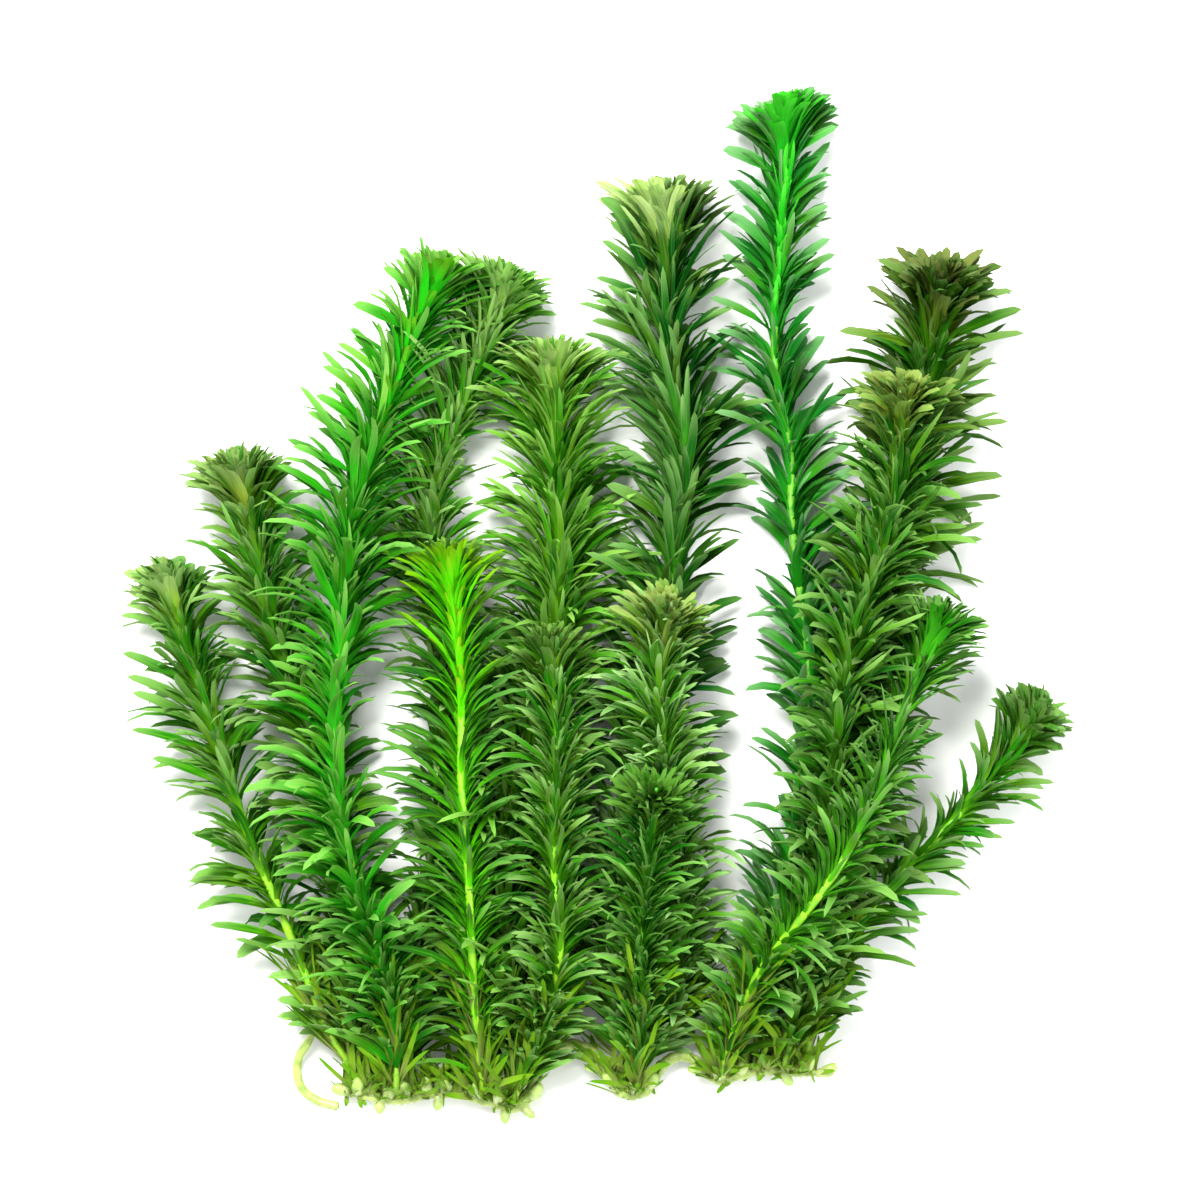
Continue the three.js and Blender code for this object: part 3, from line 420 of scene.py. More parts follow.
def repeatFaces(faces, count, each):
    # The faces of one form for each of its copies, which have so many vertices each
    offset = (np.arange(count) * each)[:, None, None]
    return [(offset + f[None]).reshape(-1, f.shape[1]) for f in faces]


# The leaves
leafForm = {
    "stations": np.array([0, 0.15, 0.34, 0.55, 0.76, 0.92]),  # along the leaf, before its point
    "thickness": 0.2, "thinning": 0.5,  # at the foot, and how much thinner the tip is, as a share
    "channel": 0.3, "baseWidth": 0.6, "widest": 0.45, "blunt": 0.85,
    "steps": 40,  # of its midline
    "lightFrom": np.array([0, 0.25, 1.0]),  # the way to the light, which leaves turn their faces to
    "facing": (0.3, 1.2),  # how much they do
    "facingFrom": 0.45, "facingCurve": 1.5,  # where along the leaf that turn is complete, and by which power
    "leastStart": 2, "ageSpread": 0.04,  # how close to its stem one may start, and how far ages differ
    "clearance": 0.4, "leastRoom": 0.5,  # between a leaf and the surface, and for it to bend in
    "shades": 8,  # leaves come in this many tones, at this many ages
    "margin": np.array([0.08, 0.05]),  # of a leaf in its cell of the UV map
}


def leafWidth(v, blunt):
    # Half a leaf's outline as a share of its width: it widens over a quarter wave to its widest place, then
    # narrows as an ellipse raised to a power, which gives a blunt point, the blunter the smaller the power
    base, widest = leafForm["baseWidth"], leafForm["widest"]
    rise = base + (1 - base) * np.sin(np.clip(v / widest, 0, 1) * np.pi / 2)
    fall = np.sqrt(np.clip(1 - ((v - widest) / (1 - widest)) ** 2, 0, 1)) ** blunt[:, None]
    return 0.5 * np.where(v > widest, fall, rise)


def growLeaves(name, leaf):
    # Each leaf's midline leaves the stem at its start angle and turns to its end angle, by a power of its
    # length called curl. Its cross section is a shallow channel: two raised edges, a midrib between them and
    # one below, drawn to one point at the tip. The face turns from the stem towards the light.
    base, along, outward = leaf["base"], leaf["along"], leaf["outward"]
    v, steps = leafForm["stations"], leafForm["steps"]
    pick = np.append(v, 1.0)
    rows, count = len(v), len(base)
    fine = np.linspace(0, 1, steps + 1)
    bend = leaf["start"][:, None] + (leaf["end"] - leaf["start"])[:, None] * fine ** leaf["curl"][:, None]
    swing = leaf["yaw"][:, None] * fine
    across = np.cross(along, outward)
    lean = outward[:, None] * np.cos(swing)[..., None] + across[:, None] * np.sin(swing)[..., None]
    direction = along[:, None] * np.cos(bend)[..., None] + lean * np.sin(bend)[..., None]
    line = midline(base, direction, leaf["length"])
    place = np.minimum((pick * steps).astype(int), steps - 1)
    part = (pick * steps - place)[None, :, None]
    centre = line[:, place] * (1 - part) + line[:, place + 1] * part
    ahead = unit(direction[:, place] * (1 - part) + direction[:, place + 1] * part)

    inner = along[:, None] - ahead * np.einsum("ijk,ik->ij", ahead, along)[..., None]
    light = leafForm["lightFrom"] - ahead * (ahead @ leafForm["lightFrom"])[..., None]
    power = leafForm["facingCurve"]
    turnUp = (leaf["facing"][:, None] * np.clip(pick / leafForm["facingFrom"], 0, 1) ** power)[..., None]
    normal = unit(unit(inner) + light * turnUp)
    wide = np.cross(ahead, normal)
    turn = (leaf["twist"][:, None] * pick)[..., None]
    wide, normal = wide * np.cos(turn) + normal * np.sin(turn), normal * np.cos(turn) - wide * np.sin(turn)

    half = (leafWidth(v, leaf["blunt"]) * leaf["width"][:, None])[..., None]
    thick = leafForm["thickness"] * (1 - leafForm["thinning"] * v)[None, :, None]
    c, w, n = centre[:, :rows], wide[:, :rows], normal[:, :rows]
    rise = n * half * leafForm["channel"]
    ring = np.stack([c - w * half + rise, c, c + w * half + rise, c - n * thick], axis=2)
    points = np.concatenate([ring.reshape(count, rows * 4, 3), centre[:, rows:]], axis=1)

    # Lower leaves bend along the surface: a depth below the stem is drawn in smoothly to less than the gap
    gap = leaf["gap"][:, None]
    depth = gap - points[..., 2]
    room = np.maximum(gap - leafForm["clearance"], leafForm["leastRoom"])
    points[..., 2] = np.where(depth > 0, gap - room * np.tanh(depth / room), points[..., 2])

    # Faces round one leaf: walls between stations, the cut base and the point. The corners run anticlockwise
    # seen from outside.
    i = np.arange(rows - 1)[:, None] * 4
    k = np.arange(4)[None]
    after = (k + 1) % 4
    wall = np.stack([i + k, i + 4 + k, i + 4 + after, i + after], -1).reshape(-1, 4)
    last = (rows - 1) * 4
    tip = np.stack([last + k[0], np.full(4, rows * 4), last + after[0]], -1)
    each = rows * 4 + 1
    faces = repeatFaces([wall, np.array([[0, 1, 2, 3]]), tip], count, each)

    # Each leaf takes the cell of its tone and age in the UV map, so that leaves of one cell look alike
    shades = leafForm["shades"]
    tone = np.minimum((leaf["tone"] * shades).astype(int), shades - 1)
    age = np.clip((leaf["age"] * shades).astype(int), 0, shades - 1)
    acrossLeaf = np.append(np.tile([0.0, 0.5, 1.0, 0.5], rows), 0.5)
    alongLeaf = np.append(np.repeat(v, 4), 1.0)
    cell = np.stack([tone, age], -1)[:, None] / shades
    margin = leafForm["margin"]
    inCell = (margin + (1 - 2 * margin) * np.stack([acrossLeaf, alongLeaf], -1))[None] / shades
    uv = (cell + inCell).reshape(-1, 2)
    return makeMesh(
        name, points.reshape(-1, 3), faces, [uv[f] for f in faces],
        {"across": np.tile(acrossLeaf, count), "along": np.tile(alongLeaf, count),
         "tone": np.repeat((tone + 0.5) / shades, each), "age": np.repeat((age + 0.5) / shades, each)},
        sharpAngle=75)


# The grown leaves. start: how they leave the stem near the tip and at the foot, in degrees. uneven,
# widthSpread: how much their lengths, within lengths, and their widths differ. youngSlim: how much narrower
# young ones are. lost: the share of leaves missing here and there.
# youngOver: the length below the crown over which leaves change from grown to young. youngest, youngestOver:
# how much younger still they are beside the crown, and over which length.
# spacing, turnStep, turnSpread: how far a whorl stands off its place, and how far round it stands from the
# one below, in turns, and each leaf from its place, in radians.
# whorlLean, whorlSize: how much whorls differ in lean, in degrees, and in size. leanStart: how much of its
# whorl's lean a leaf starts with. startLoose, endLoose: how much leaves differ in angle, in degrees, first
# without any tangle and then how much more with it. curl: by which powers they bend.
# hug: how much less a leaf on top of the stem bends out, in degrees, and slim: how much narrower it is.
# hugGrown: how much of both holds for a grown leaf.
# footOver: the length at the foot where leaves stand steeper, by footStart and footEnd, in degrees, and are
# shorter, by footShort.
plainForm = {
    "start": (19, 38), "uneven": 0.1, "lost": 0.06, "youngOver": 80.0, "youngest": 0.14, "youngestOver": 12.0,
    "spacing": 0.26, "turnStep": 0.53, "turnSpread": 0.26, "whorlLean": 6, "whorlSize": 0.05,
    "leanStart": 0.6, "startLoose": (4, 10), "endLoose": (9, 16), "curl": (0.8, 2.0), "lengths": (0.6, 1.2),
    "widthSpread": 0.12, "youngSlim": 0.1, "hug": 36, "slim": 0.5, "hugGrown": 0.35,
    "footOver": 40, "footStart": 12, "footEnd": 25, "footShort": 0.25,
}
facings = {"left": 0, "top": np.pi / 2, "right": np.pi}  # a leaf's turn round the stem, for a stem along +Y
# The crown. length: how far down from the tip it reaches. start, end: how its outermost leaves stand, in
# degrees, and steepest: how far they lean out at most. rosette: a crown that spreads this far is uneven, as
# it is seen from its end. dome: how much lower its rim is than its middle, as a share. lobes, rough: how
# uneven its top is. ragged, raggedBy: how far single leaves may climb over it, and how much that differs, up
# to the lean leanMost. crowding, opening: by which powers of the way up its whorls stand closer and lean
# less. last: how far below the tip the last one is, as a share. startLoose, endLoose, turnSpread: how much
# leaves differ in angle, in degrees, and round the stem, in radians. narrow: how narrow the topmost are.
# least: the shortest leaf. lengths, rosetteLengths: how much their lengths differ.
crownForm = {
    "length": 16.0, "whorls": 17, "more": 4, "start": 24, "end": 76, "curl": (1.2, 2.2), "steepest": 62,
    "blunt": 0.42, "rosette": 1.1, "dome": 0.13, "lobes": 1.6, "rough": 0.7, "ragged": 2.0, "turnStep": 0.387,
    "crowding": 0.85, "opening": 0.75, "startLoose": 4, "endLoose": 9, "turnSpread": 0.14, "narrow": 0.7,
    "last": 0.03, "least": 2.0, "lengths": (0.9, 1.06), "rosetteLengths": (0.8, 1.06), "ageSpread": 0.03,
    "raggedBy": (0.3, 1.7), "leanMost": 70,
}
# Narrow leaves between the whorls, on the side towards the viewer. perMm: how many on each millimetre of
# stem. ends: how far from its foot and tip they begin. arcs: the share of them that are thin, pale and more
# bent, their paleness a painted highlight.
fineForm = {
    "perMm": 2.5, "ends": (8, 6), "turn": (-0.1, 3.24), "start": (8, 32), "end": (45, 105), "hug": 30,
    "leaf": (0.45, 0.85), "wide": (1.0, 1.7), "curl": (0.8, 1.8), "arcs": 0.25, "arcWide": 0.6, "arcBend": 25,
}
# The bright leaves that lie along the middle of a crown, on top of the others. crowding: the power that
# crowds them towards the tip. narrowing: how much less far round the lowest of them stand. fadeHigh, fadeLow:
# the lengths over which they begin and end.
heartForm = {
    "perMm": 2.2, "start": (2, 12), "end": (6, 34), "leaf": (6, 10), "wide": (1.1, 2.0), "spread": 0.7,
    "crowding": 1.3, "narrowing": 0.6, "fadeHigh": 4, "fadeLow": 8,
}
# The foot: long pale leaves that fan up from the rhizome. startLoose, endLoose: how much they differ in
# angle, in degrees, turnSpread: round the stem, in radians. upright: how far those that point down turn up,
# over which length. bare: the share of them missing on top, over the stem.
footForm = {
    "from": 0.8, "length": 24.0, "whorls": 10, "each": 9, "turnStep": 0.58, "turnSpread": 0.25, "leaf": 22.0,
    "lengths": (0.4, 1.15), "wide": (1.0, 1.9), "start": 12, "startLoose": 5, "end": 36, "endLoose": 18,
    "curl": (0.9, 1.6), "ageSpread": (-0.05, 0.06), "upright": 0.9, "uprightOver": 30, "bare": 0.95,
}
# The leaves that stand out. turn: how far they are turned off the straight left or right, in radians. arch:
# how much less steeply than the line to its tip a leaf starts, and how much more it ends, in degrees.
standoutForm = {"turn": 0.2, "arch": 12, "slack": 1.01, "blunt": 0.55, "tone": (0.35, 1), "facing": 1.4}
# How far leaves turn and twist at random, in radians, first without any tangle and then how much more with
# it, and how much of that holds for each kind
loose = {"yaw": (0.35, 0.4), "twist": (0.4, 0.3)}
looseness = {"plain": 1, "crown": 0.6, "fine": 1, "heart": 0.5, "foot": 1, "standout": 0.2}
# Age runs from the foot's pale leaves through the grown ones to the crown's young ones
ages = {"foot": 0.06, "low": 0.2, "high": 0.62, "crown": 0.7, "bud": 0.97, "heart": 0.99}
# Tone is a leaf's lightness, with painted light and painted shade in it. left: how much of the row's painted
# light the left has, beside the stem and in the crown. patches: how strong the slanting patches are, waves:
# how long.
# neckAt, neckHalf: the place of the neck's painted shade below the tip and half its length. even: how much
# less leaves differ on a side lit by painted light. heart: the tone of the crown's bright middle alone, which
# tones beyond heartFrom belong to.
tones = {
    "left": (0.25, 0.6), "patches": 0.45, "waves": (2.9, 5.1), "neckAt": 27, "neckHalf": 9, "even": 0.4,
    "heart": 0.99, "heartFrom": 1.9,
}


def toneFor(shoot, turn, share, down):
    # Chance, plus painted light on the left and on top of the stem, plus slanting patches made of two
    # crossing waves, less the painted shade of the dark neck below the crown. share: how much of the left's
    # painted light counts.
    # down: the place below the tip
    left, top = (light * share for light in shoot["light"])
    overhead = np.clip(np.sin(turn), 0, 1)
    # Painted light: leaves on the left and on top of the stem are lighter, as the light falls there
    side = left * np.cos(turn) + top * (overhead - 0.5)
    short, long = tones["waves"]
    waves = np.sin(down / short + turn + shoot["root"]) * np.cos(down / long - 2 * turn + shoot["root"])
    # Painted shade: leaves on top of the stem just below the crown are darker, where the crown shades them
    neck = shoot["neck"] * overhead * np.exp(-((down - tones["neckAt"]) / tones["neckHalf"]) ** 2)
    spread = 1 - tones["even"] * np.minimum(np.maximum(left, top), 1)
    return rng.random(len(turn)) * spread + (1 - spread) / 2 + side + tones["patches"] * waves - neck


def whorlCount(shoot, stem):
    # How many whorls stand below each place on the stem: the sum of one over their gap, which narrows upwards
    gap = np.interp(stem.at / stem.length, [0, 1], shoot["gap"][::-1])
    return np.concatenate([[0], np.cumsum(np.diff(stem.at) / gap[1:])])


# Where leaves are missing. sideFrom, sideOver: the cosine of the angle off its middle where a thinned side
# ends, and over which it does. fadeOver: the same along the stem. shorter: how unevenly leaves there are
# shortened. tuftShift: how far tufts on the left and right are moved along, in periods, and tuftEdge: how
# sudden they end.
thinForm = {
    "sideFrom": 0.3, "sideOver": 0.3, "fadeOver": 0.08, "shorter": (0.3, 1.2), "tuftShift": 0.31,
    "tuftEdge": 1.2,
}


def thinOut(shoot, turn, share, length):
    # Which leaves are there, and how long they are as a share of their full length, by their side of the stem
    # and their place along it
    count = len(turn)
    left, right = shoot["sides"]
    reach = 1 + (left - 1) * np.clip(np.cos(turn), 0, 1) + (right - 1) * np.clip(-np.cos(turn), 0, 1)
    missing = np.full(count, plainForm["lost"])
    over = thinForm["fadeOver"]
    for facing, amount, shorter, low, high in shoot["thin"]:
        toward = (np.cos(turn - facings[facing]) - thinForm["sideFrom"]) / thinForm["sideOver"]
        inside = np.clip(toward, 0, 1) * np.clip((share - low) / over, 0, 1)
        inside = inside * np.clip((high - share) / over, 0, 1)
        missing = np.maximum(missing, amount * inside)
        reach = reach * (1 - (1 - shorter) * inside * rng.uniform(*thinForm["shorter"], count))
    # Tufts are a wave along the stem, on its left and right alone
    amount, period = shoot["tuft"]
    wave = np.sin(2 * np.pi * (share * length / period + thinForm["tuftShift"] * np.sign(np.cos(turn))))
    aside = np.clip(np.abs(np.cos(turn)) * 2 - 0.6, 0, 1)
    missing = np.maximum(missing, amount * np.clip(0.5 - thinForm["tuftEdge"] * wave, 0, 1) * aside)
    return rng.random(count) > missing, reach


def heartSpread(shoot, down):
    # How far round from the top the crown's bright middle reaches, at a place below the tip
    spread, high, low = shoot["heart"]
    return spread * (1 - heartForm["narrowing"] * np.clip((down - high) / max(low - high, 1), 0, 1))


def brighten(shoot, stem, leaf):
    # Leaves near the top of the stem and near its tip belong to the crown's bright middle, fewer beside it
    spread, high, low = shoot["heart"]
    if spread:
        fromTop = np.abs((leaf["turn"] - facings["top"] + np.pi) % (2 * np.pi) - np.pi)
        down = stem.length - leaf["distance"]
        chance = np.exp(-(fromTop / heartSpread(shoot, down)) ** 4)
        chance = chance * np.clip((low - down) / heartForm["fadeLow"], 0, 1)
        chance = chance * np.clip((down - high) / heartForm["fadeHigh"] + 1, 0, 1)
        bright = rng.random(len(fromTop)) < chance
        leaf["tone"] = np.where(bright, 2.0, leaf["tone"])
        leaf["age"] = np.where(bright, ages["heart"], leaf["age"])
    return leaf


def plainLeaves(shoot, stem):
    # Whorls from the foot to the crown. Each stands about half a leaf's turn from the one below.
    form = plainForm
    crownFoot = stem.length - crownForm["length"]
    below = whorlCount(shoot, stem)
    distance = np.interp(np.arange(2, int(np.interp(crownFoot, stem.at, below))), below, stem.at)
    distance = distance + rng.normal(0, form["spacing"], len(distance)) * shoot["gap"][0]
    each, whorls = shoot["each"], len(distance)
    turn = (np.arange(whorls)[:, None] * form["turnStep"] + np.arange(each)[None] / each) * 2 * np.pi
    lean = np.repeat(rng.normal(0, form["whorlLean"], whorls), each)
    size = np.repeat(rng.normal(1, form["whorlSize"], whorls), each)
    distance = np.repeat(distance, each)
    turn = turn.ravel() + rng.normal(0, form["turnSpread"], whorls * each)
    share = distance / stem.length
    young = np.clip((distance - crownFoot) / form["youngOver"] + 1, 0, 1)
    foot = np.clip(1 - distance / form["footOver"], 0, 1)
    count = len(turn)
    nearCrown = np.clip(1 - (crownFoot - distance) / form["youngestOver"], 0, 1)
    # How much of the row's painted light the left has here: more near the crown
    paintedLightShare = tones["left"][0] + (tones["left"][1] - tones["left"][0]) * nearCrown
    keep, reach = thinOut(shoot, turn, share, stem.length)
    stray = np.where(rng.random(count) < shoot["stray"][0], shoot["stray"][1], 1)
    top = np.clip(np.sin(turn), 0, 1) * (form["hugGrown"] + (1 - form["hugGrown"]) * young)
    start = form["start"][1] + (form["start"][0] - form["start"][1]) * young - form["footStart"] * foot
    end = shoot["bend"][1] + (shoot["bend"][0] - shoot["bend"][1]) * young
    end = end - form["footEnd"] * foot - form["hug"] * top
    startLoose, endLoose = (
        low + more * shoot["tangle"] for low, more in (form["startLoose"], form["endLoose"]))
    narrower = 1 - form["youngSlim"] * young - form["slim"] * top
    return {
        "distance": distance, "turn": turn,
        "length": shoot["leaf"] * size * reach * stray * (1 - form["footShort"] * foot)
        * np.clip(rng.normal(1, form["uneven"], count), *form["lengths"]),
        "width": shoot["wide"] * rng.normal(1, form["widthSpread"], count) * narrower,
        "start": start + rng.normal(0, startLoose, count) + form["leanStart"] * lean,
        "end": end + rng.normal(0, endLoose, count) + lean,
        "curl": rng.uniform(*form["curl"], count),
        "age": ages["low"] + (ages["high"] - ages["low"]) * share + form["youngest"] * nearCrown,
        "tone": toneFor(shoot, turn, paintedLightShare, stem.length - distance),
        "blunt": np.full(count, leafForm["blunt"]),
    }, keep


def crownLeaves(shoot, stem):
    # Whorls crowd towards the tip. A leaf is as long as its way up to the crown's nearly level top.
    form = crownForm
    whorls, each = form["whorls"], shoot["each"] + form["more"]
    # down is 1 at the crown's foot and 0 at the stem's tip
    down = np.repeat(np.linspace(1, form["last"], whorls) ** form["crowding"], each)
    count = len(down)
    turn = np.arange(whorls)[:, None] * form["turnStep"] + np.arange(each)[None] / each
    turn = (turn * 2 * np.pi).ravel()
    start = form["start"] * shoot["crown"] * down + rng.normal(0, form["startLoose"], count)
    end = form["end"] * shoot["crown"] * down ** form["opening"] + rng.normal(0, form["endLoose"], count)
    lobes = form["lobes"] * np.sin(3 * turn + shoot["root"])
    climb = form["length"] * down * (1 - form["dome"] * down) + shoot["lift"] + lobes * down
    climb = climb + rng.normal(0, form["rough"], count) - shoot["slope"] * np.cos(turn) * down
    curl = rng.uniform(*form["curl"], count)
    lean = np.clip(start + (end - start) / (1 + curl), 0, form["steepest"])  # on average over its length
    length = np.clip(climb / np.cos(np.radians(lean)), form["least"], shoot["leaf"])
    lengths = form["rosetteLengths"] if shoot["crown"] >= form["rosette"] else form["lengths"]
    length = length * rng.uniform(*lengths, count)
    share = 1 - form["length"] * down / stem.length
    keep, reach = thinOut({**shoot, "tuft": (0, 1)}, turn, share, stem.length)
    return {
        "distance": stem.length - form["length"] * down,
        "turn": turn + rng.normal(0, form["turnSpread"], count),
        "length": length * np.minimum(reach, 1.1),
        "width": shoot["wide"] * (form["narrow"] + (1 - form["narrow"]) * down)
        * rng.normal(1, plainForm["widthSpread"], count),
        "start": start, "end": end, "curl": curl,
        "age": ages["bud"] + (ages["crown"] - ages["bud"]) * down + rng.normal(0, form["ageSpread"], count),
        "tone": toneFor(shoot, turn, tones["left"][1], form["length"] * down),
        "blunt": np.full(count, form["blunt"]),
    }, keep


def fineLeaves(shoot, stem):
    # Single leaves at chance places along the stem and round its upper half, thinned out as the grown ones
    count = int(stem.length * fineForm["perMm"] * shoot["fine"])
    distance = rng.uniform(fineForm["ends"][0], stem.length - fineForm["ends"][1], count)
    turn = rng.uniform(*fineForm["turn"], count)
    share = distance / stem.length
    keep, reach = thinOut(shoot, turn, share, stem.length)
    arc = rng.random(count) < fineForm["arcs"]
    hug = fineForm["hug"] * np.clip(np.sin(turn), 0, 1)
    return {
        "distance": distance, "turn": turn,
        "length": shoot["leaf"] * reach * rng.uniform(*fineForm["leaf"], count),
        "width": rng.uniform(*fineForm["wide"], count) * np.where(arc, fineForm["arcWide"], 1),
        "start": rng.uniform(*fineForm["start"], count),
        "end": rng.uniform(*fineForm["end"], count) - hug + np.where(arc, fineForm["arcBend"], 0),
        "curl": rng.uniform(*fineForm["curl"], count),
        "age": ages["low"] + (ages["high"] - ages["low"]) * share,
        # The arcs take the lightest tone, which paints them pale as highlights
        "tone": np.where(arc, 1.0, toneFor(shoot, turn, tones["left"][0], stem.length - distance)),
        "blunt": np.full(count, leafForm["blunt"]),
    }, keep


def heartLeaves(shoot, stem):
    # Single leaves, closest near the tip, spread round the top of the stem by a normal chance
    form = heartForm
    spread, high, low = shoot["heart"]
    count = int((low - high) * form["perMm"])
    down = high + (low - high) * rng.random(count) ** form["crowding"]
    one = np.ones(count)
    aside = rng.normal(0, form["spread"], count) * heartSpread(shoot, down)
    return {
        "distance": stem.length - down, "turn": facings["top"] + aside,
        "length": rng.uniform(*form["leaf"], count), "width": rng.uniform(*form["wide"], count),
        "start": rng.uniform(*form["start"], count), "end": rng.uniform(*form["end"], count),
        "curl": one, "age": one * ages["heart"], "tone": one * 2, "blunt": one * leafForm["blunt"],
    }, one > 0


def footLeaves(shoot, stem):
    # Evenly spaced whorls, each turned a bit more than half round from the one below
    form = footForm
    whorls, each = form["whorls"], form["each"]
    distance = np.repeat(np.linspace(form["from"], form["length"], whorls), each)
    count = len(distance)
    turn = np.arange(whorls)[:, None] * form["turnStep"] + np.arange(each)[None] / each
    turn = (turn * 2 * np.pi).ravel()
    return {
        "distance": distance, "turn": turn + rng.normal(0, form["turnSpread"], count),
        "length": form["leaf"] * rng.uniform(*form["lengths"], count),
        "width": rng.uniform(*form["wide"], count),
        "start": rng.normal(form["start"], form["startLoose"], count),
        "end": rng.normal(form["end"], form["endLoose"], count),
        "curl": rng.uniform(*form["curl"], count),
        "age": ages["foot"] + rng.uniform(*form["ageSpread"], count),
        "tone": rng.random(count), "blunt": np.full(count, leafForm["blunt"]),
    }, rng.random(count) > form["bare"] * np.clip(np.sin(turn) * 2 - 1, 0, 1)


def standoutLeaves(shoot, stem):
    # A straight line from a row's foot to its tip gives the leaf's length, side and lean. It arches over it.
    form = standoutForm
    foot, tipX, tipY, width = np.array(shoot["standout"], float).reshape(-1, 4).T
    at = np.argmin(np.abs(stem.line[:, 1:2] - foot), axis=0)
    chord = np.stack([tipX, tipY], -1) - stem.line[at, :2]
    ahead = (chord * stem.along[at, :2]).sum(-1)
    aside = (chord * stem.side[at, :2]).sum(-1)
    lean = np.degrees(np.arctan2(np.abs(aside), ahead))
    count = len(foot)
    share = stem.at[at] / stem.length
    return {
        "distance": stem.at[at], "turn": np.where(aside > 0, form["turn"], np.pi - form["turn"]),
        "length": np.linalg.norm(chord, axis=-1) * form["slack"], "width": width,
        "start": lean - form["arch"], "end": lean + form["arch"], "curl": np.ones(count),
        "age": ages["low"] + (ages["high"] - ages["low"]) * share,
        "tone": rng.uniform(*form["tone"], count), "blunt": np.full(count, form["blunt"]),
    }, width > 0


def finishLeaves(name, leaf, origin, along, up, side, core, tangle):
    # Turns the table's angles into directions. core: how far from the stem's centre a leaf starts
    count = len(leaf["turn"])
    leaf["along"] = along
    leaf["outward"] = side * np.cos(leaf["turn"])[:, None] + up * np.sin(leaf["turn"])[:, None]
    leaf["base"] = origin + leaf["outward"] * core
    leaf["gap"] = origin[:, 2]
    nearFoot = np.clip(1 - leaf["distance"] / footForm["uprightOver"], 0, 1)
    back = footForm["upright"] * np.clip(-leaf["outward"][:, 1], 0, 1) * nearFoot
    leaf["start"] = np.radians(np.maximum(leaf["start"], leafForm["leastStart"])) * (1 - back)
    leaf["end"] = np.radians(leaf["end"]) * (1 - back)
    for key, (low, more) in loose.items():
        leaf[key] = rng.normal(0, low + more * tangle, count) * leaf["loose"]
    darker = np.clip(leaf["tone"], 0, tones["heart"] - 1 / leafForm["shades"])
    leaf["tone"] = np.where(leaf["tone"] > tones["heartFrom"], tones["heart"], darker)
    older = rng.normal(0, leafForm["ageSpread"], count)
    leaf["age"] = leaf["age"] + np.where(leaf["age"] > ages["low"] - 0.01, older, 0)  # not at the foot
    facing = rng.uniform(*leafForm["facing"], count)
    leaf["facing"] = np.where(leaf["loose"] == looseness["standout"], standoutForm["facing"], facing)
    return growLeaves(name, leaf)


def dressShoot(name, shoot, stem):
    # All leaves of a shoot in one mesh
    groups = []
    for kind, maker in (("plain", plainLeaves), ("crown", crownLeaves), ("fine", fineLeaves),
                        ("heart", heartLeaves), ("foot", footLeaves), ("standout", standoutLeaves)):
        table, keep = maker(shoot, stem)
        table = brighten(shoot, stem, table)
        table["loose"] = np.full(len(keep), looseness[kind])
        groups.append({key: values[keep] for key, values in table.items()})
    leaf = {key: np.concatenate([g[key] for g in groups]) for key in groups[0]}
    # No leaf climbs far beyond the crown's top
    climb = (stem.length - leaf["distance"]) * (1 - crownForm["dome"]) + shoot["lift"]
    climb = climb + crownForm["ragged"] * rng.uniform(*crownForm["raggedBy"], len(climb))
    climb = climb - shoot["slope"] * np.cos(leaf["turn"])
    lean = leaf["start"] + (leaf["end"] - leaf["start"]) / (1 + leaf["curl"])
    lean = np.radians(np.clip(lean, 0, crownForm["leanMost"]))
    leaf["length"] = np.minimum(leaf["length"], climb / np.cos(lean))
    places = stem.sample(leaf["distance"])
    return finishLeaves(name + "_leaves", leaf, *places, stemForm["core"], shoot["tangle"])


# The stems. foot, radius, tip: how thick a stem is from foot to tip, and at: where along it. knuckle,
# knuckleHalf: how much thicker it is at a whorl, and half how far. core: how far from its middle the leaves
# start. cap: how high the cone at an end is, as a share of its radius. step: between points of the line.
stemForm = {
    "foot": 0.95, "radius": 1.02, "upper": 0.918, "tip": 0.5, "at": (0, 0.06, 0.8, 1), "sides": 10,
    "knuckle": 0.05, "knuckleHalf": 0.8, "core": 0.7, "cap": 0.6, "step": 0.8,
}


def tubeFaces(rings, sides):
    # The walls between rings of vertices, and triangles at both ends to one more vertex each
    i, k = np.arange(rings - 1)[:, None] * sides, np.arange(sides)[None]
    after = (k + 1) % sides
    wall = np.stack([i + k, i + after, i + sides + after, i + sides + k], -1).reshape(-1, 4)
    last, first = (rings - 1) * sides, rings * sides
    foot = np.stack([np.full(sides, first), after[0], k[0]], -1)
    tip = np.stack([np.full(sides, first + 1), last + k[0], last + after[0]], -1)
    return wall, np.vstack([foot, tip])


def tube(name, stem, radius, sides):
    # A circle of the given radius carried along the stem's line, closed by a low cone at each end
    turn = np.arange(sides) / sides * 2 * np.pi
    circle = stem.side[:, None] * np.cos(turn)[None, :, None] + stem.up[:, None] * np.sin(turn)[None, :, None]
    points = (stem.line[:, None] + circle * radius[:, None, None]).reshape(-1, 3)
    poles = np.stack([stem.line[0] - stem.along[0] * radius[0] * stemForm["cap"],
                      stem.line[-1] + stem.along[-1] * radius[-1] * stemForm["cap"]])
    # The UV map unrolls the tube, with the length from left to right
    k = np.arange(sides)[None]
    low, high = k / sides, (k + 1) / sides
    share, nextShare = stem.at[:-1, None] / stem.length, stem.at[1:, None] / stem.length
    corners = ((share, low), (share, high), (nextShare, high), (nextShare, low))
    wallUv = np.stack([np.stack(np.broadcast_arrays(*corner), -1) for corner in corners], 2)
    low, high, edge = low[0], high[0], 0.002
    ends = (((0, low), (edge, high), (edge, low)), ((1, low), (1 - edge, low), (1 - edge, high)))
    endUv = np.concatenate([
        np.stack([np.stack([np.full(sides, u), v], -1) for u, v in end], 1) for end in ends])
    return makeMesh(name, np.vstack([points, poles]), tubeFaces(len(stem.line), sides), [wallUv, endUv],
                    {"age": np.append(np.repeat(stem.at / stem.length, sides), [0, 1])})


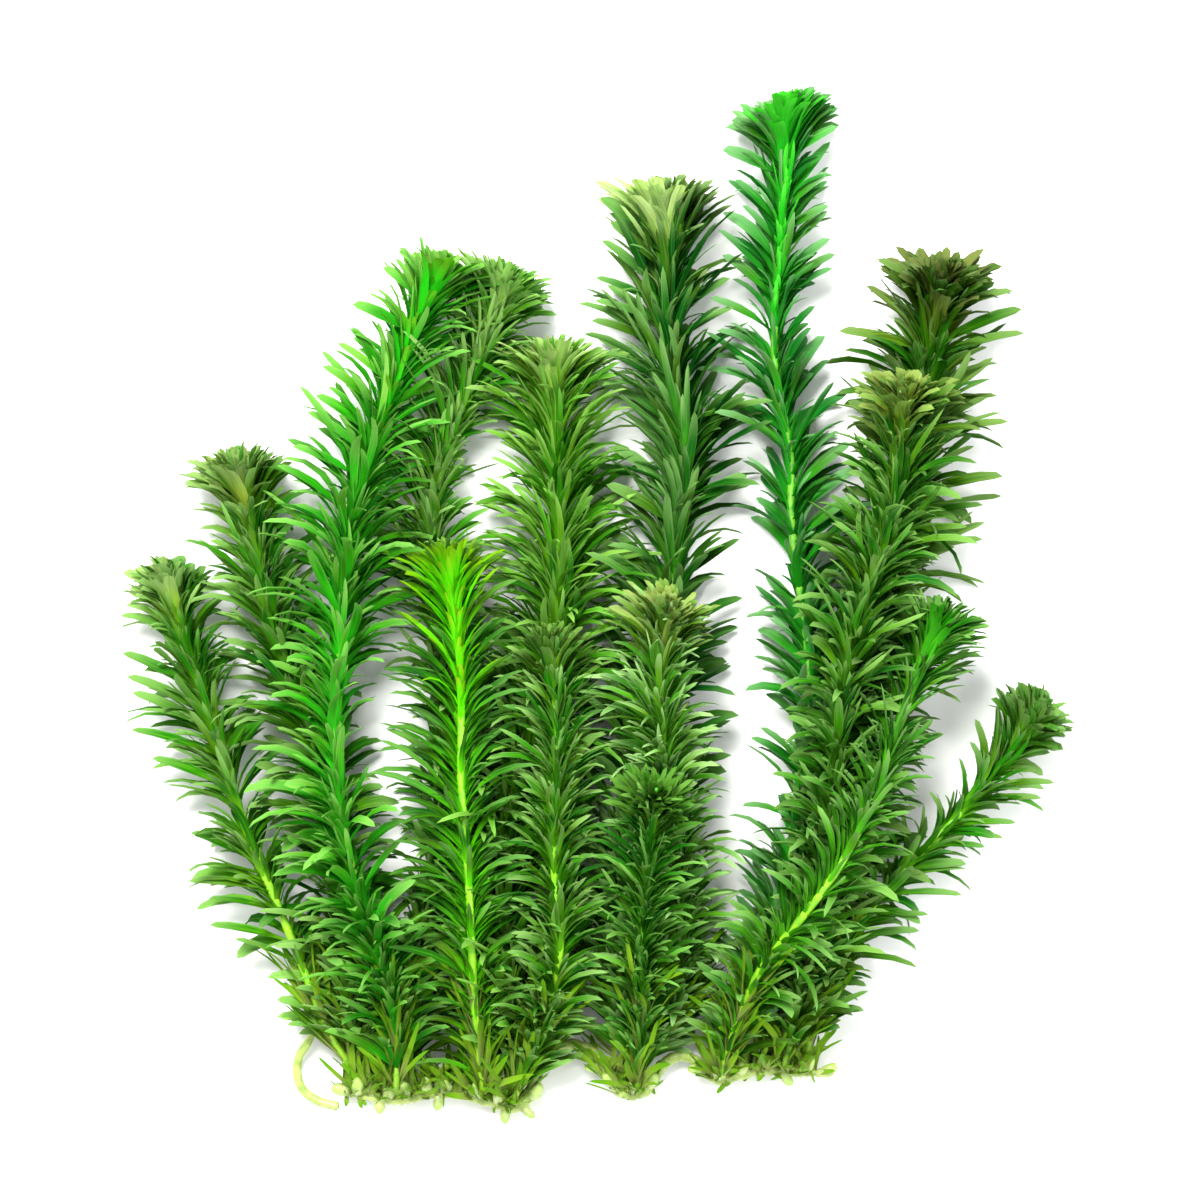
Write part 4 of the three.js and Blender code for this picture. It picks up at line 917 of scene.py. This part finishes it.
def shootCore(name, shoot, stem):
    # The radius swells a little at every whorl and narrows at the foot and in the crown
    form = stemForm
    stops = [form["foot"], form["radius"], form["upper"], form["tip"]]
    radius = np.interp(stem.at / stem.length, form["at"], stops)
    below = whorlCount(shoot, stem)
    gap = np.interp(stem.at / stem.length, [0, 1], shoot["gap"][::-1])
    knuckle = np.exp(-((below - np.round(below)) * gap / form["knuckleHalf"]) ** 2)
    return tube(name + "_stem", stem, radius * (1 + form["knuckle"] * knuckle), form["sides"])


def growBuds(name, rows):
    # Each bud's midline starts on the rhizome's centre and turns evenly sideways as it rises. Its radius is
    # most of a half sine of its length, raised to a power, and it closes in a point at both ends.
    table = np.array(rows, float)
    count, rings, sides = len(table), budForm["rings"], budForm["sides"]
    stem = Stem(rhizome["path"], rhizome["step"])
    at = np.argmin(np.abs(stem.line[:, None, 0] - table[None, :, 0]), axis=0)
    v = np.linspace(0, 1, rings + 2)
    heading = np.radians(table[:, 1:2] + table[:, 5:6] * v[None])
    rise = np.radians(table[:, 2:3])
    ahead = np.stack([np.cos(heading) * np.cos(rise), np.sin(heading) * np.cos(rise),
                      np.sin(rise) * np.ones_like(heading)], -1)
    line = midline(stem.line[at], ahead, table[:, 3])
    side = unit(np.cross(ahead, np.array([0, 0, 1.0])))
    over = np.cross(side, ahead)
    turn = np.arange(sides) / sides * 2 * np.pi
    low, high, power = budForm["profile"]
    radius = table[:, 4:5] * (np.sin(np.pi * (low + (high - low) * v[1:-1])) ** power)[None]
    wave = 1 + budForm["wave"] * np.sin(3 * turn)[None, None]
    wave = wave + budForm["uneven"] * rng.normal(0, 1, (count, rings, 1))
    circle = side[:, 1:-1, None] * np.cos(turn)[:, None] + over[:, 1:-1, None] * np.sin(turn)[:, None]
    rim = line[:, 1:-1, None] + circle * (radius[..., None] * wave)[..., None]
    points = np.concatenate([rim.reshape(count, rings * sides, 3), line[:, :1], line[:, -1:]], axis=1)
    points[..., 2] = np.maximum(points[..., 2], budForm["clearance"])
    alongBud = np.concatenate([np.repeat(v[1:-1], sides), [0, 1]])
    # In the UV map every bud has a cell, with its two halves side by side, folded at the middle
    around = np.concatenate([np.tile(np.abs(1 - 2 * np.arange(sides) / sides), rings), [0.5, 0.5]])
    cells = budForm["cells"]
    corner = np.stack([np.arange(count) % cells, np.arange(count) // cells], -1)[:, None] / cells
    margin = budForm["margin"]
    inCell = (margin + (1 - 2 * margin) * np.stack([around, alongBud], -1))[None] / cells
    uv = (corner + inCell).reshape(-1, 2)
    faces = repeatFaces(tubeFaces(rings, sides), count, rings * sides + 2)
    return makeMesh(name, points.reshape(-1, 3), faces, [uv[f] for f in faces],
                    {"age": np.tile(alongBud, count)})


# Short leaves that stand on the rhizome between the shoots. stretches: from and to where along X they grow,
# and how many. steepest: how far they rise off the surface at most, in degrees. aside: how far they point off
# +Y. below, belowLeaf: the share of them that point away from the shoots, and how long those are.
scaleForm = {
    "stretches": [(-62, -20, 240), (1, 12, 60), (26, 52, 150)], "leaf": (4, 17), "width": (0.9, 1.8),
    "start": (5, 30), "end": (10, 60), "steepest": 75, "aside": 0.35, "below": 0.08, "belowLeaf": 0.3,
    "core": 1.0, "tangle": 0.5,
}


def rhizomeLeaves(name):
    # Each stands on the rhizome's skin and points from +Y round towards the viewer, or a few the other way
    stem = Stem(rhizome["path"], rhizome["step"])
    x = np.concatenate([rng.uniform(low, high, number) for low, high, number in scaleForm["stretches"]])
    count = len(x)
    at = np.argmin(np.abs(stem.line[:, None, 0] - x[None]), axis=0)
    lift = np.radians(rng.uniform(0, scaleForm["steepest"], count))
    aside = rng.normal(0, scaleForm["aside"], count)
    below = rng.random(count) < scaleForm["below"]
    along = unit(np.stack([aside, np.where(below, -1, 1) * np.cos(lift), np.sin(lift)], -1))
    side = unit(np.cross(along, np.array([0, 0, 1.0])))
    leaf = {
        "distance": np.zeros(count), "turn": rng.uniform(0, 2 * np.pi, count),
        "length": rng.uniform(*scaleForm["leaf"], count) * np.where(below, scaleForm["belowLeaf"], 1),
        "width": rng.uniform(*scaleForm["width"], count), "start": rng.uniform(*scaleForm["start"], count),
        "end": rng.uniform(*scaleForm["end"], count), "curl": rng.uniform(*footForm["curl"], count),
        "age": ages["foot"] + rng.uniform(*footForm["ageSpread"], count), "tone": rng.random(count),
        "blunt": np.full(count, leafForm["blunt"]), "loose": np.ones(count)}
    up = np.cross(side, along)
    return finishLeaves(name, leaf, stem.line[at], along, up, side, scaleForm["core"], scaleForm["tangle"])


# The finishes
def link(tree, value, socket):
    if isinstance(value, bpy.types.NodeSocket):
        tree.links.new(value, socket)
    elif isinstance(value, tuple):
        socket.default_value = (*value, 1)
    else:
        socket.default_value = value


def mixColour(tree, factor, a, b, blend="MIX"):
    node = tree.nodes.new("ShaderNodeMix")
    node.data_type, node.blend_type = "RGBA", blend
    for socket, value in ((node.inputs[0], factor), (node.inputs[6], a), (node.inputs[7], b)):
        link(tree, value, socket)
    return node.outputs[2]


def math(tree, operation, *values):
    node = tree.nodes.new("ShaderNodeMath")
    node.operation = operation
    for socket, value in zip(node.inputs, values):
        link(tree, value, socket)
    return node.outputs[0]


def fade(tree, value, low, high):
    # 0 at low, 1 at high, smooth between them. low may be the greater.
    node = tree.nodes.new("ShaderNodeMapRange")
    node.interpolation_type = "SMOOTHSTEP"
    ends = (0.0, 1.0) if high > low else (1.0, 0.0)
    for socket, number in zip(node.inputs[:5], (value, min(low, high), max(low, high), *ends)):
        link(tree, number, socket)
    return node.outputs[0]


def cover(tree, under, over, value, low, high, most=1.0):
    # One colour laid over another: not where the value is low, and with the weight most where it is high
    weight = fade(tree, value, low, high)
    if most < 1:
        weight = math(tree, "MULTIPLY", weight, most)
    return mixColour(tree, weight, under, over)


def attribute(tree, name):
    node = tree.nodes.new("ShaderNodeAttribute")
    node.attribute_name = name
    return node.outputs["Fac"]


def vector(tree, x, y, z):
    node = tree.nodes.new("ShaderNodeCombineXYZ")
    for socket, value in zip(node.inputs, (x, y, z)):
        link(tree, value, socket)
    return node.outputs[0]


def noise(tree, place, scale, detail):
    node = tree.nodes.new("ShaderNodeTexNoise")
    tree.links.new(place, node.inputs["Vector"])
    node.inputs["Scale"].default_value = scale
    node.inputs["Detail"].default_value = detail
    return node.outputs[0]


def newMaterial(name):
    material = bpy.data.materials.new(name)
    material.use_nodes = True
    return material, material.node_tree, material.node_tree.nodes["Principled BSDF"]


# deep to blade is the range of a grown leaf, warm the yellow-green of an odd yellowed leaf and of leaves in
# painted light. base is its foot, tip its pale end and the painted highlight and sheen, young a crown leaf,
# sunny a crown leaf in painted light, heart its foot and fringe its tip. glow: how far up a leaf the foot's
# colour reaches. A shoot's own tint takes the place of some.
leafGreens = {
    "bright": {"deep": (0.009, 0.21, 0.003), "blade": (0.045, 0.39, 0.005), "warm": (0.09, 0.6, 0.006),
               "base": (0.035, 0.56, 0.005), "tip": (0.27, 0.541, 0.143)},
    "mid": {"deep": (0.015, 0.2, 0.003), "blade": (0.062, 0.36, 0.005), "warm": (0.22, 0.54, 0.012),
            "base": (0.13, 0.5, 0.006), "tip": (0.34, 0.57, 0.176)},
    "dark": {"deep": (0.007, 0.14, 0.004), "blade": (0.032, 0.27, 0.008), "warm": (0.16, 0.45, 0.02),
             "base": (0.08, 0.4, 0.006), "tip": (0.32, 0.532, 0.198)},
    "olive": {"deep": (0.014, 0.13, 0.002), "blade": (0.058, 0.28, 0.005), "warm": (0.2, 0.44, 0.012),
              "base": (0.12, 0.38, 0.006), "tip": (0.3, 0.475, 0.132)},
}
oldGreens = {"deep": (0.02, 0.15, 0.003), "blade": (0.12, 0.37, 0.014)}  # grown leaves near the foot
oddGreens = {"brown": (0.11, 0.14, 0.005), "teal": (0.005, 0.12, 0.02)}  # here and there a whole leaf
footGreens = {"pale": (0.34, 0.44, 0.1), "lime": (0.27, 0.49, 0.022), "green": (0.14, 0.38, 0.01)}
# The leaf's colours lie over one another. Each row: where a layer begins, where it is full, and how much it
# covers there.
leafLayers = {
    # pale lays the tip's colour on the lightest leaves as a painted highlight
    "blade": (0.12, 0.62), "warm": (0.5, 0.85, 0.9), "pale": (0.78, 1.02, 0.75),  # by the leaf's shade
    "oldBlade": (0.1, 0.9), "youngBlade": (-0.1, 0.5), "sunny": (0.5, 0.85, 0.92),
    "old": (0.5, 0.22, 0.75), "young": (0.58, 0.8), "footYoung": (0.6, 0.85),  # by its age
    "fringe": (0.58, 0.75), "foot": (0.16, 0.11),
    "brown": (0.56, 0.64, 0.45), "teal": (0.44, 0.36, 0.45),  # by chance
    "footLight": (0.0, 0.22), "rimLight": (0.0, 0.3),  # by its tone
    "footLime": (0.2, 0.7), "footGreen": (0.3, 0.8), "end": (0.6, 1.15, 0.75),  # by the place along it
    "heartEnd": (0.45, 1.0, 0.85),
    # rim and rimLight: where the pale margin with its painted sheen lies, and on which tones
    "ribs": (0.5, 0.0, 0.25), "midrib": (0.12, 0.0, 0.35), "rim": (0.34, 0.5),  # by the place across it
    "heartStreaks": (0.3, 0.7), "bright": (0.85, 0.92),  # by streaks, and by age and tone
}
# The wet leaf's skin. streaks: how fine they are across and along it, contrast: how strong they are. through:
# how much light comes through. glow, glowEnd: where along a leaf its foot's colour ends and is full.
leafSkin = {
    "streaks": (2.6, 0.8), "ribs": 5, "ribHeight": 0.0001, "ribStrength": 0.3, "roughness": (0.34, 0.3),
    "contrast": 1.3, "index": 1.35, "specular": 0.11, "through": 0.42, "throughTint": (1.0, 1.0, 0.5),
    "glow": 0.5, "glowEnd": 0.05,
}


def leafMaterial(name, greens):
    # A glossy skin with fine ribs, mixed with light that comes through. Its colours carry painted light and
    # shade.
    material, tree, shader = newMaterial(name)
    across, along, tone, age = (attribute(tree, key) for key in ("across", "along", "tone", "age"))

    def product(*values):
        return math(tree, "MULTIPLY", *values)

    def lay(under, over, value, layer):
        return cover(tree, under, over, value, *leafLayers[layer])

    # Streaks along the leaf, different in each cell of tone and age
    own = math(tree, "MULTIPLY_ADD", age, 31.0, product(tone, 17.0))
    fineAcross, fineAlong = leafSkin["streaks"]
    streak = noise(tree, vector(tree, product(across, fineAcross), product(along, fineAlong), own), 3.0, 3.0)
    # A leaf's shade is its tone, with painted light and painted shade in it, plus its streaks
    shade = math(tree, "MULTIPLY_ADD", math(tree, "SUBTRACT", streak, 0.5), leafSkin["contrast"], tone)
    # The grown leaf, from deep to pale, the palest a painted highlight, with old ones at the foot and a few
    # odd ones
    blade = lay(greens["deep"], greens["blade"], shade, "blade")
    blade = lay(blade, greens["warm"], shade, "warm")
    blade = lay(blade, greens["tip"], shade, "pale")
    old = lay(oldGreens["deep"], oldGreens["blade"], shade, "oldBlade")
    blade = lay(blade, old, age, "old")
    patch = noise(tree, vector(tree, own, 2.7, 0.4), 1.0, 0.0)
    blade = lay(blade, oddGreens["brown"], patch, "brown")
    blade = lay(blade, oddGreens["teal"], patch, "teal")
    # The crown's young leaves, sunny where painted light falls on them
    young = lay(greens["deep"], greens["young"], shade, "youngBlade")
    young = lay(young, greens.get("sunny", greens["warm"]), shade, "sunny")
    blade = lay(blade, young, age, "young")
    # The leaf's own foot, its ribs, its pale end with painted highlight on lighter leaves, its midrib, and
    # its rim:
    # a pale margin with painted sheen on lighter leaves
    foot = lay(greens["base"], greens["heart"], age, "footYoung")
    foot = lay(greens["deep"], foot, tone, "footLight")
    glow = greens.get("glow", leafSkin["glow"])
    colour = cover(tree, blade, foot, along, glow, leafSkin["glowEnd"])
    ribs = math(tree, "ABSOLUTE", math(tree, "SINE", product(across, leafSkin["ribs"] * np.pi)))
    colour = lay(colour, greens["deep"], ribs, "ribs")
    # The pale end reaches further down lighter-toned leaves: a real pale tip with painted highlight on it
    paling = math(tree, "MULTIPLY_ADD", tone, 0.4, math(tree, "SUBTRACT", along, 0.1))
    tip = lay(greens["tip"], greens.get("fringe", greens["tip"]), age, "fringe")
    colour = lay(colour, tip, paling, "end")
    fromMidrib = math(tree, "ABSOLUTE", math(tree, "SUBTRACT", across, 0.5))
    colour = lay(colour, greens["base"], fromMidrib, "midrib")
    # The rim: a pale margin with painted sheen on it, stronger on lighter-toned leaves
    rim = product(fade(tree, fromMidrib, *leafLayers["rim"]), product(along, 0.6))
    colour = mixColour(tree, product(rim, fade(tree, tone, *leafLayers["rimLight"])), colour, tip)
    # The pale leaves of the foot, and the crown's bright middle
    pale = lay(footGreens["pale"], footGreens["lime"], along, "footLime")
    upper = math(tree, "SUBTRACT", along, product(tone, 0.4))
    pale = lay(pale, footGreens["green"], upper, "footGreen")
    colour = lay(colour, pale, age, "foot")
    heart = lay(greens["base"], greens["heart"], streak, "heartStreaks")
    heart = lay(heart, greens["young"], along, "heartEnd")
    bright = product(*(fade(tree, value, *leafLayers["bright"]) for value in (age, tone)))
    colour = mixColour(tree, bright, colour, heart)

    smooth, uneven = leafSkin["roughness"]
    tree.links.new(colour, shader.inputs["Base Color"])
    tree.links.new(math(tree, "MULTIPLY_ADD", streak, uneven, smooth), shader.inputs["Roughness"])
    shader.inputs["IOR"].default_value = leafSkin["index"]
    shader.inputs["Specular IOR Level"].default_value = leafSkin["specular"]
    bump = tree.nodes.new("ShaderNodeBump")
    bump.inputs["Strength"].default_value = leafSkin["ribStrength"]
    bump.inputs["Distance"].default_value = leafSkin["ribHeight"]
    tree.links.new(ribs, bump.inputs["Height"])
    tree.links.new(bump.outputs[0], shader.inputs["Normal"])
    through = tree.nodes.new("ShaderNodeBsdfTranslucent")
    tinted = mixColour(tree, 1.0, colour, leafSkin["throughTint"], "MULTIPLY")
    tree.links.new(tinted, through.inputs["Color"])
    mix = tree.nodes.new("ShaderNodeMixShader")
    mix.inputs[0].default_value = leafSkin["through"]
    tree.links.new(shader.outputs[0], mix.inputs[1])
    tree.links.new(through.outputs[0], mix.inputs[2])
    tree.links.new(mix.outputs[0], tree.nodes["Material Output"].inputs[0])
    return material


# The stem's skin. mottles: how fine they are, dark: where they begin and are full, and how much they cover.
# depth: how deep light goes in, in metres
stemSkin = {
    "mottles": 380.0, "dark": (0.42, 0.7, 0.75), "roughness": (0.25, 0.3), "subsurface": 0.25,
    "depth": 0.0015,
}


def stemMaterial(name, young, old, dark):
    # Small mottles over a colour that turns from the foot's to the tip's
    material, tree, shader = newMaterial(name)
    coordinates = tree.nodes.new("ShaderNodeTexCoord")
    mottle = noise(tree, coordinates.outputs["Object"], stemSkin["mottles"], 3.0)
    colour = mixColour(tree, attribute(tree, "age"), old, young)
    colour = cover(tree, colour, dark, mottle, *stemSkin["dark"])
    smooth, uneven = stemSkin["roughness"]
    tree.links.new(colour, shader.inputs["Base Color"])
    tree.links.new(math(tree, "MULTIPLY_ADD", mottle, uneven, smooth), shader.inputs["Roughness"])
    shader.inputs["Subsurface Weight"].default_value = stemSkin["subsurface"]
    shader.inputs["Subsurface Scale"].default_value = stemSkin["depth"]
    return material


stemFinishes = {
    "lime": stemMaterial("stem_lime", (0.18, 0.6, 0.01), (0.3, 0.56, 0.02), (0.1, 0.38, 0.01)),
    "green": stemMaterial("stem_green", (0.05, 0.36, 0.012), (0.28, 0.54, 0.04), (0.03, 0.2, 0.01)),
}
paleStem = stemMaterial("stem_pale", (0.34, 0.46, 0.1), (0.42, 0.52, 0.15), (0.16, 0.26, 0.04))
budFinish = stemMaterial("bud_pale", (0.3, 0.48, 0.08), (0.55, 0.6, 0.28), (0.34, 0.42, 0.14))


def dress(piece, node, material):
    # The clump is one body, so every piece rides on the root
    piece.data.materials.append(material)
    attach(piece, "root")
    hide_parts(node)


faceCount = 0
for name, row in shoots.items():
    shoot = {**usualShoot, **row}
    stem = shootStem(shoot)
    foliage = dressShoot(name, shoot, stem)
    core = shootCore(name, shoot, stem)
    greens = {**leafGreens[shoot["green"]], **shoot["tint"]}
    dress(foliage, name, leafMaterial(name.replace("shoot", "leaf"), greens))
    dress(core, name, stemFinishes[shoot["stem"]])
    for piece in (foliage, core):
        piece.data.calc_loop_triangles()
        faceCount += len(piece.data.loop_triangles)
    print(name, "dressed:", len(foliage.data.loop_triangles), "triangles of leaves")

# The rhizome's radius swells at every shoot, tapers to its ends and has two waves along it
rhizomeStem = Stem(rhizome["path"], rhizome["step"])
along = rhizomeStem.at
roots = np.array([row["root"] for row in shoots.values()])
nearest = np.abs(rhizomeStem.line[:, :1] - roots[None]).min(axis=1)
swelling = rhizome["slim"] + (1 - rhizome["slim"]) * np.exp(-(nearest / rhizome["nodeHalf"]) ** 2)
fromEnd = np.minimum(along, rhizomeStem.length - along) / (rhizome["taperOver"] * rhizomeStem.length)
taper = rhizome["end"] + (1 - rhizome["end"]) * np.clip(fromEnd, 0, 1)
(slowHeight, slow), (fastHeight, fast) = rhizome["ripples"]
ripple = 1 + slowHeight * np.sin(along * slow) + fastHeight * np.sin(along * fast)
rhizomeRadius = rhizome["radius"] * swelling * taper * ripple * rhizome["skin"]
rhizomePiece = tube("rhizome_skin", rhizomeStem, rhizomeRadius, rhizome["sides"])
dress(rhizomePiece, "rhizome", paleStem)
dress(growBuds("rhizome_buds", buds), "rhizome", budFinish)
scaleGreens = {**leafGreens["mid"], **shoots["shoot_far_left"]["tint"]}
dress(rhizomeLeaves("rhizome_leaves"), "rhizome", leafMaterial("leaf_rhizome", scaleGreens))

runnerStem = Stem(runner["path"], runner["step"])
narrowing = np.interp(runnerStem.at / runnerStem.length, [0, runner["tipFrom"], 1], [1, 1, runner["tip"]])
runnerPiece = tube("runner_skin", runnerStem, runner["radius"] * narrowing, runner["sides"])
dress(runnerPiece, "runner", paleStem)
print("clump dressed:", faceCount, "triangles of shoots")

# The surface, the light and the camera
studio = {
    "frame": 0.288,  # the width of the picture on the clump, in metres
    "middle": (0.96e-3, 0.7e-3), "lens": 150.0, "sensor": 36.0, "subjectHeight": 0.014,
    "floorHalf": 4.0, "floorGrey": 0.88, "floorRough": 0.9, "sky": 1.15,
}
# Each lamp: its place, its width and its power, in metres and watts, and its colour
lamps = {
    "key": ((-0.25, 0.6, 1.2), 0.6, 40, (1, 1, 0.96)),
    "fill": ((0.9, -0.3, 1.0), 0.9, 8, (0.97, 1, 0.99)),
}
floorMesh = bpy.data.meshes.new("floor")
half = studio["floorHalf"]
corners = [(-half, -half, 0), (half, -half, 0), (half, half, 0), (-half, half, 0)]
floorMesh.from_pydata(corners, [], [(0, 1, 2, 3)])
floor = bpy.data.objects.new("floor", floorMesh)
bpy.context.scene.collection.objects.link(floor)
floorMaterial, _, floorShader = newMaterial("pale_surface")
floorShader.inputs["Base Color"].default_value = (*[studio["floorGrey"]] * 3, 1)
floorShader.inputs["Roughness"].default_value = studio["floorRough"]
floorMesh.materials.append(floorMaterial)

world = bpy.data.worlds.new("studio")
world.use_nodes = True
world.node_tree.nodes["Background"].inputs[0].default_value = (1, 1, 1, 1)
world.node_tree.nodes["Background"].inputs[1].default_value = studio["sky"]
bpy.context.scene.world = world

for name, (place, size, power, colour) in lamps.items():
    data = bpy.data.lights.new(name, "AREA")
    data.shape = "DISK"
    data.size, data.energy, data.color = size, power, colour
    lamp = bpy.data.objects.new(name, data)
    lamp.location = place
    lamp.rotation_euler = (-Vector(place)).to_track_quat("-Z", "Y").to_euler()  # it faces the clump
    bpy.context.scene.collection.objects.link(lamp)
print("surface and lamps in place")

cameraData = bpy.data.cameras.new("camera")
cameraData.lens, cameraData.sensor_width = studio["lens"], studio["sensor"]
camera = bpy.data.objects.new("camera", cameraData)
height = studio["frame"] * studio["lens"] / studio["sensor"] + studio["subjectHeight"]
camera.location = (*studio["middle"], height)
bpy.context.scene.collection.objects.link(camera)
bpy.context.scene.camera = camera
bpy.context.scene.view_settings.view_transform = "Standard"
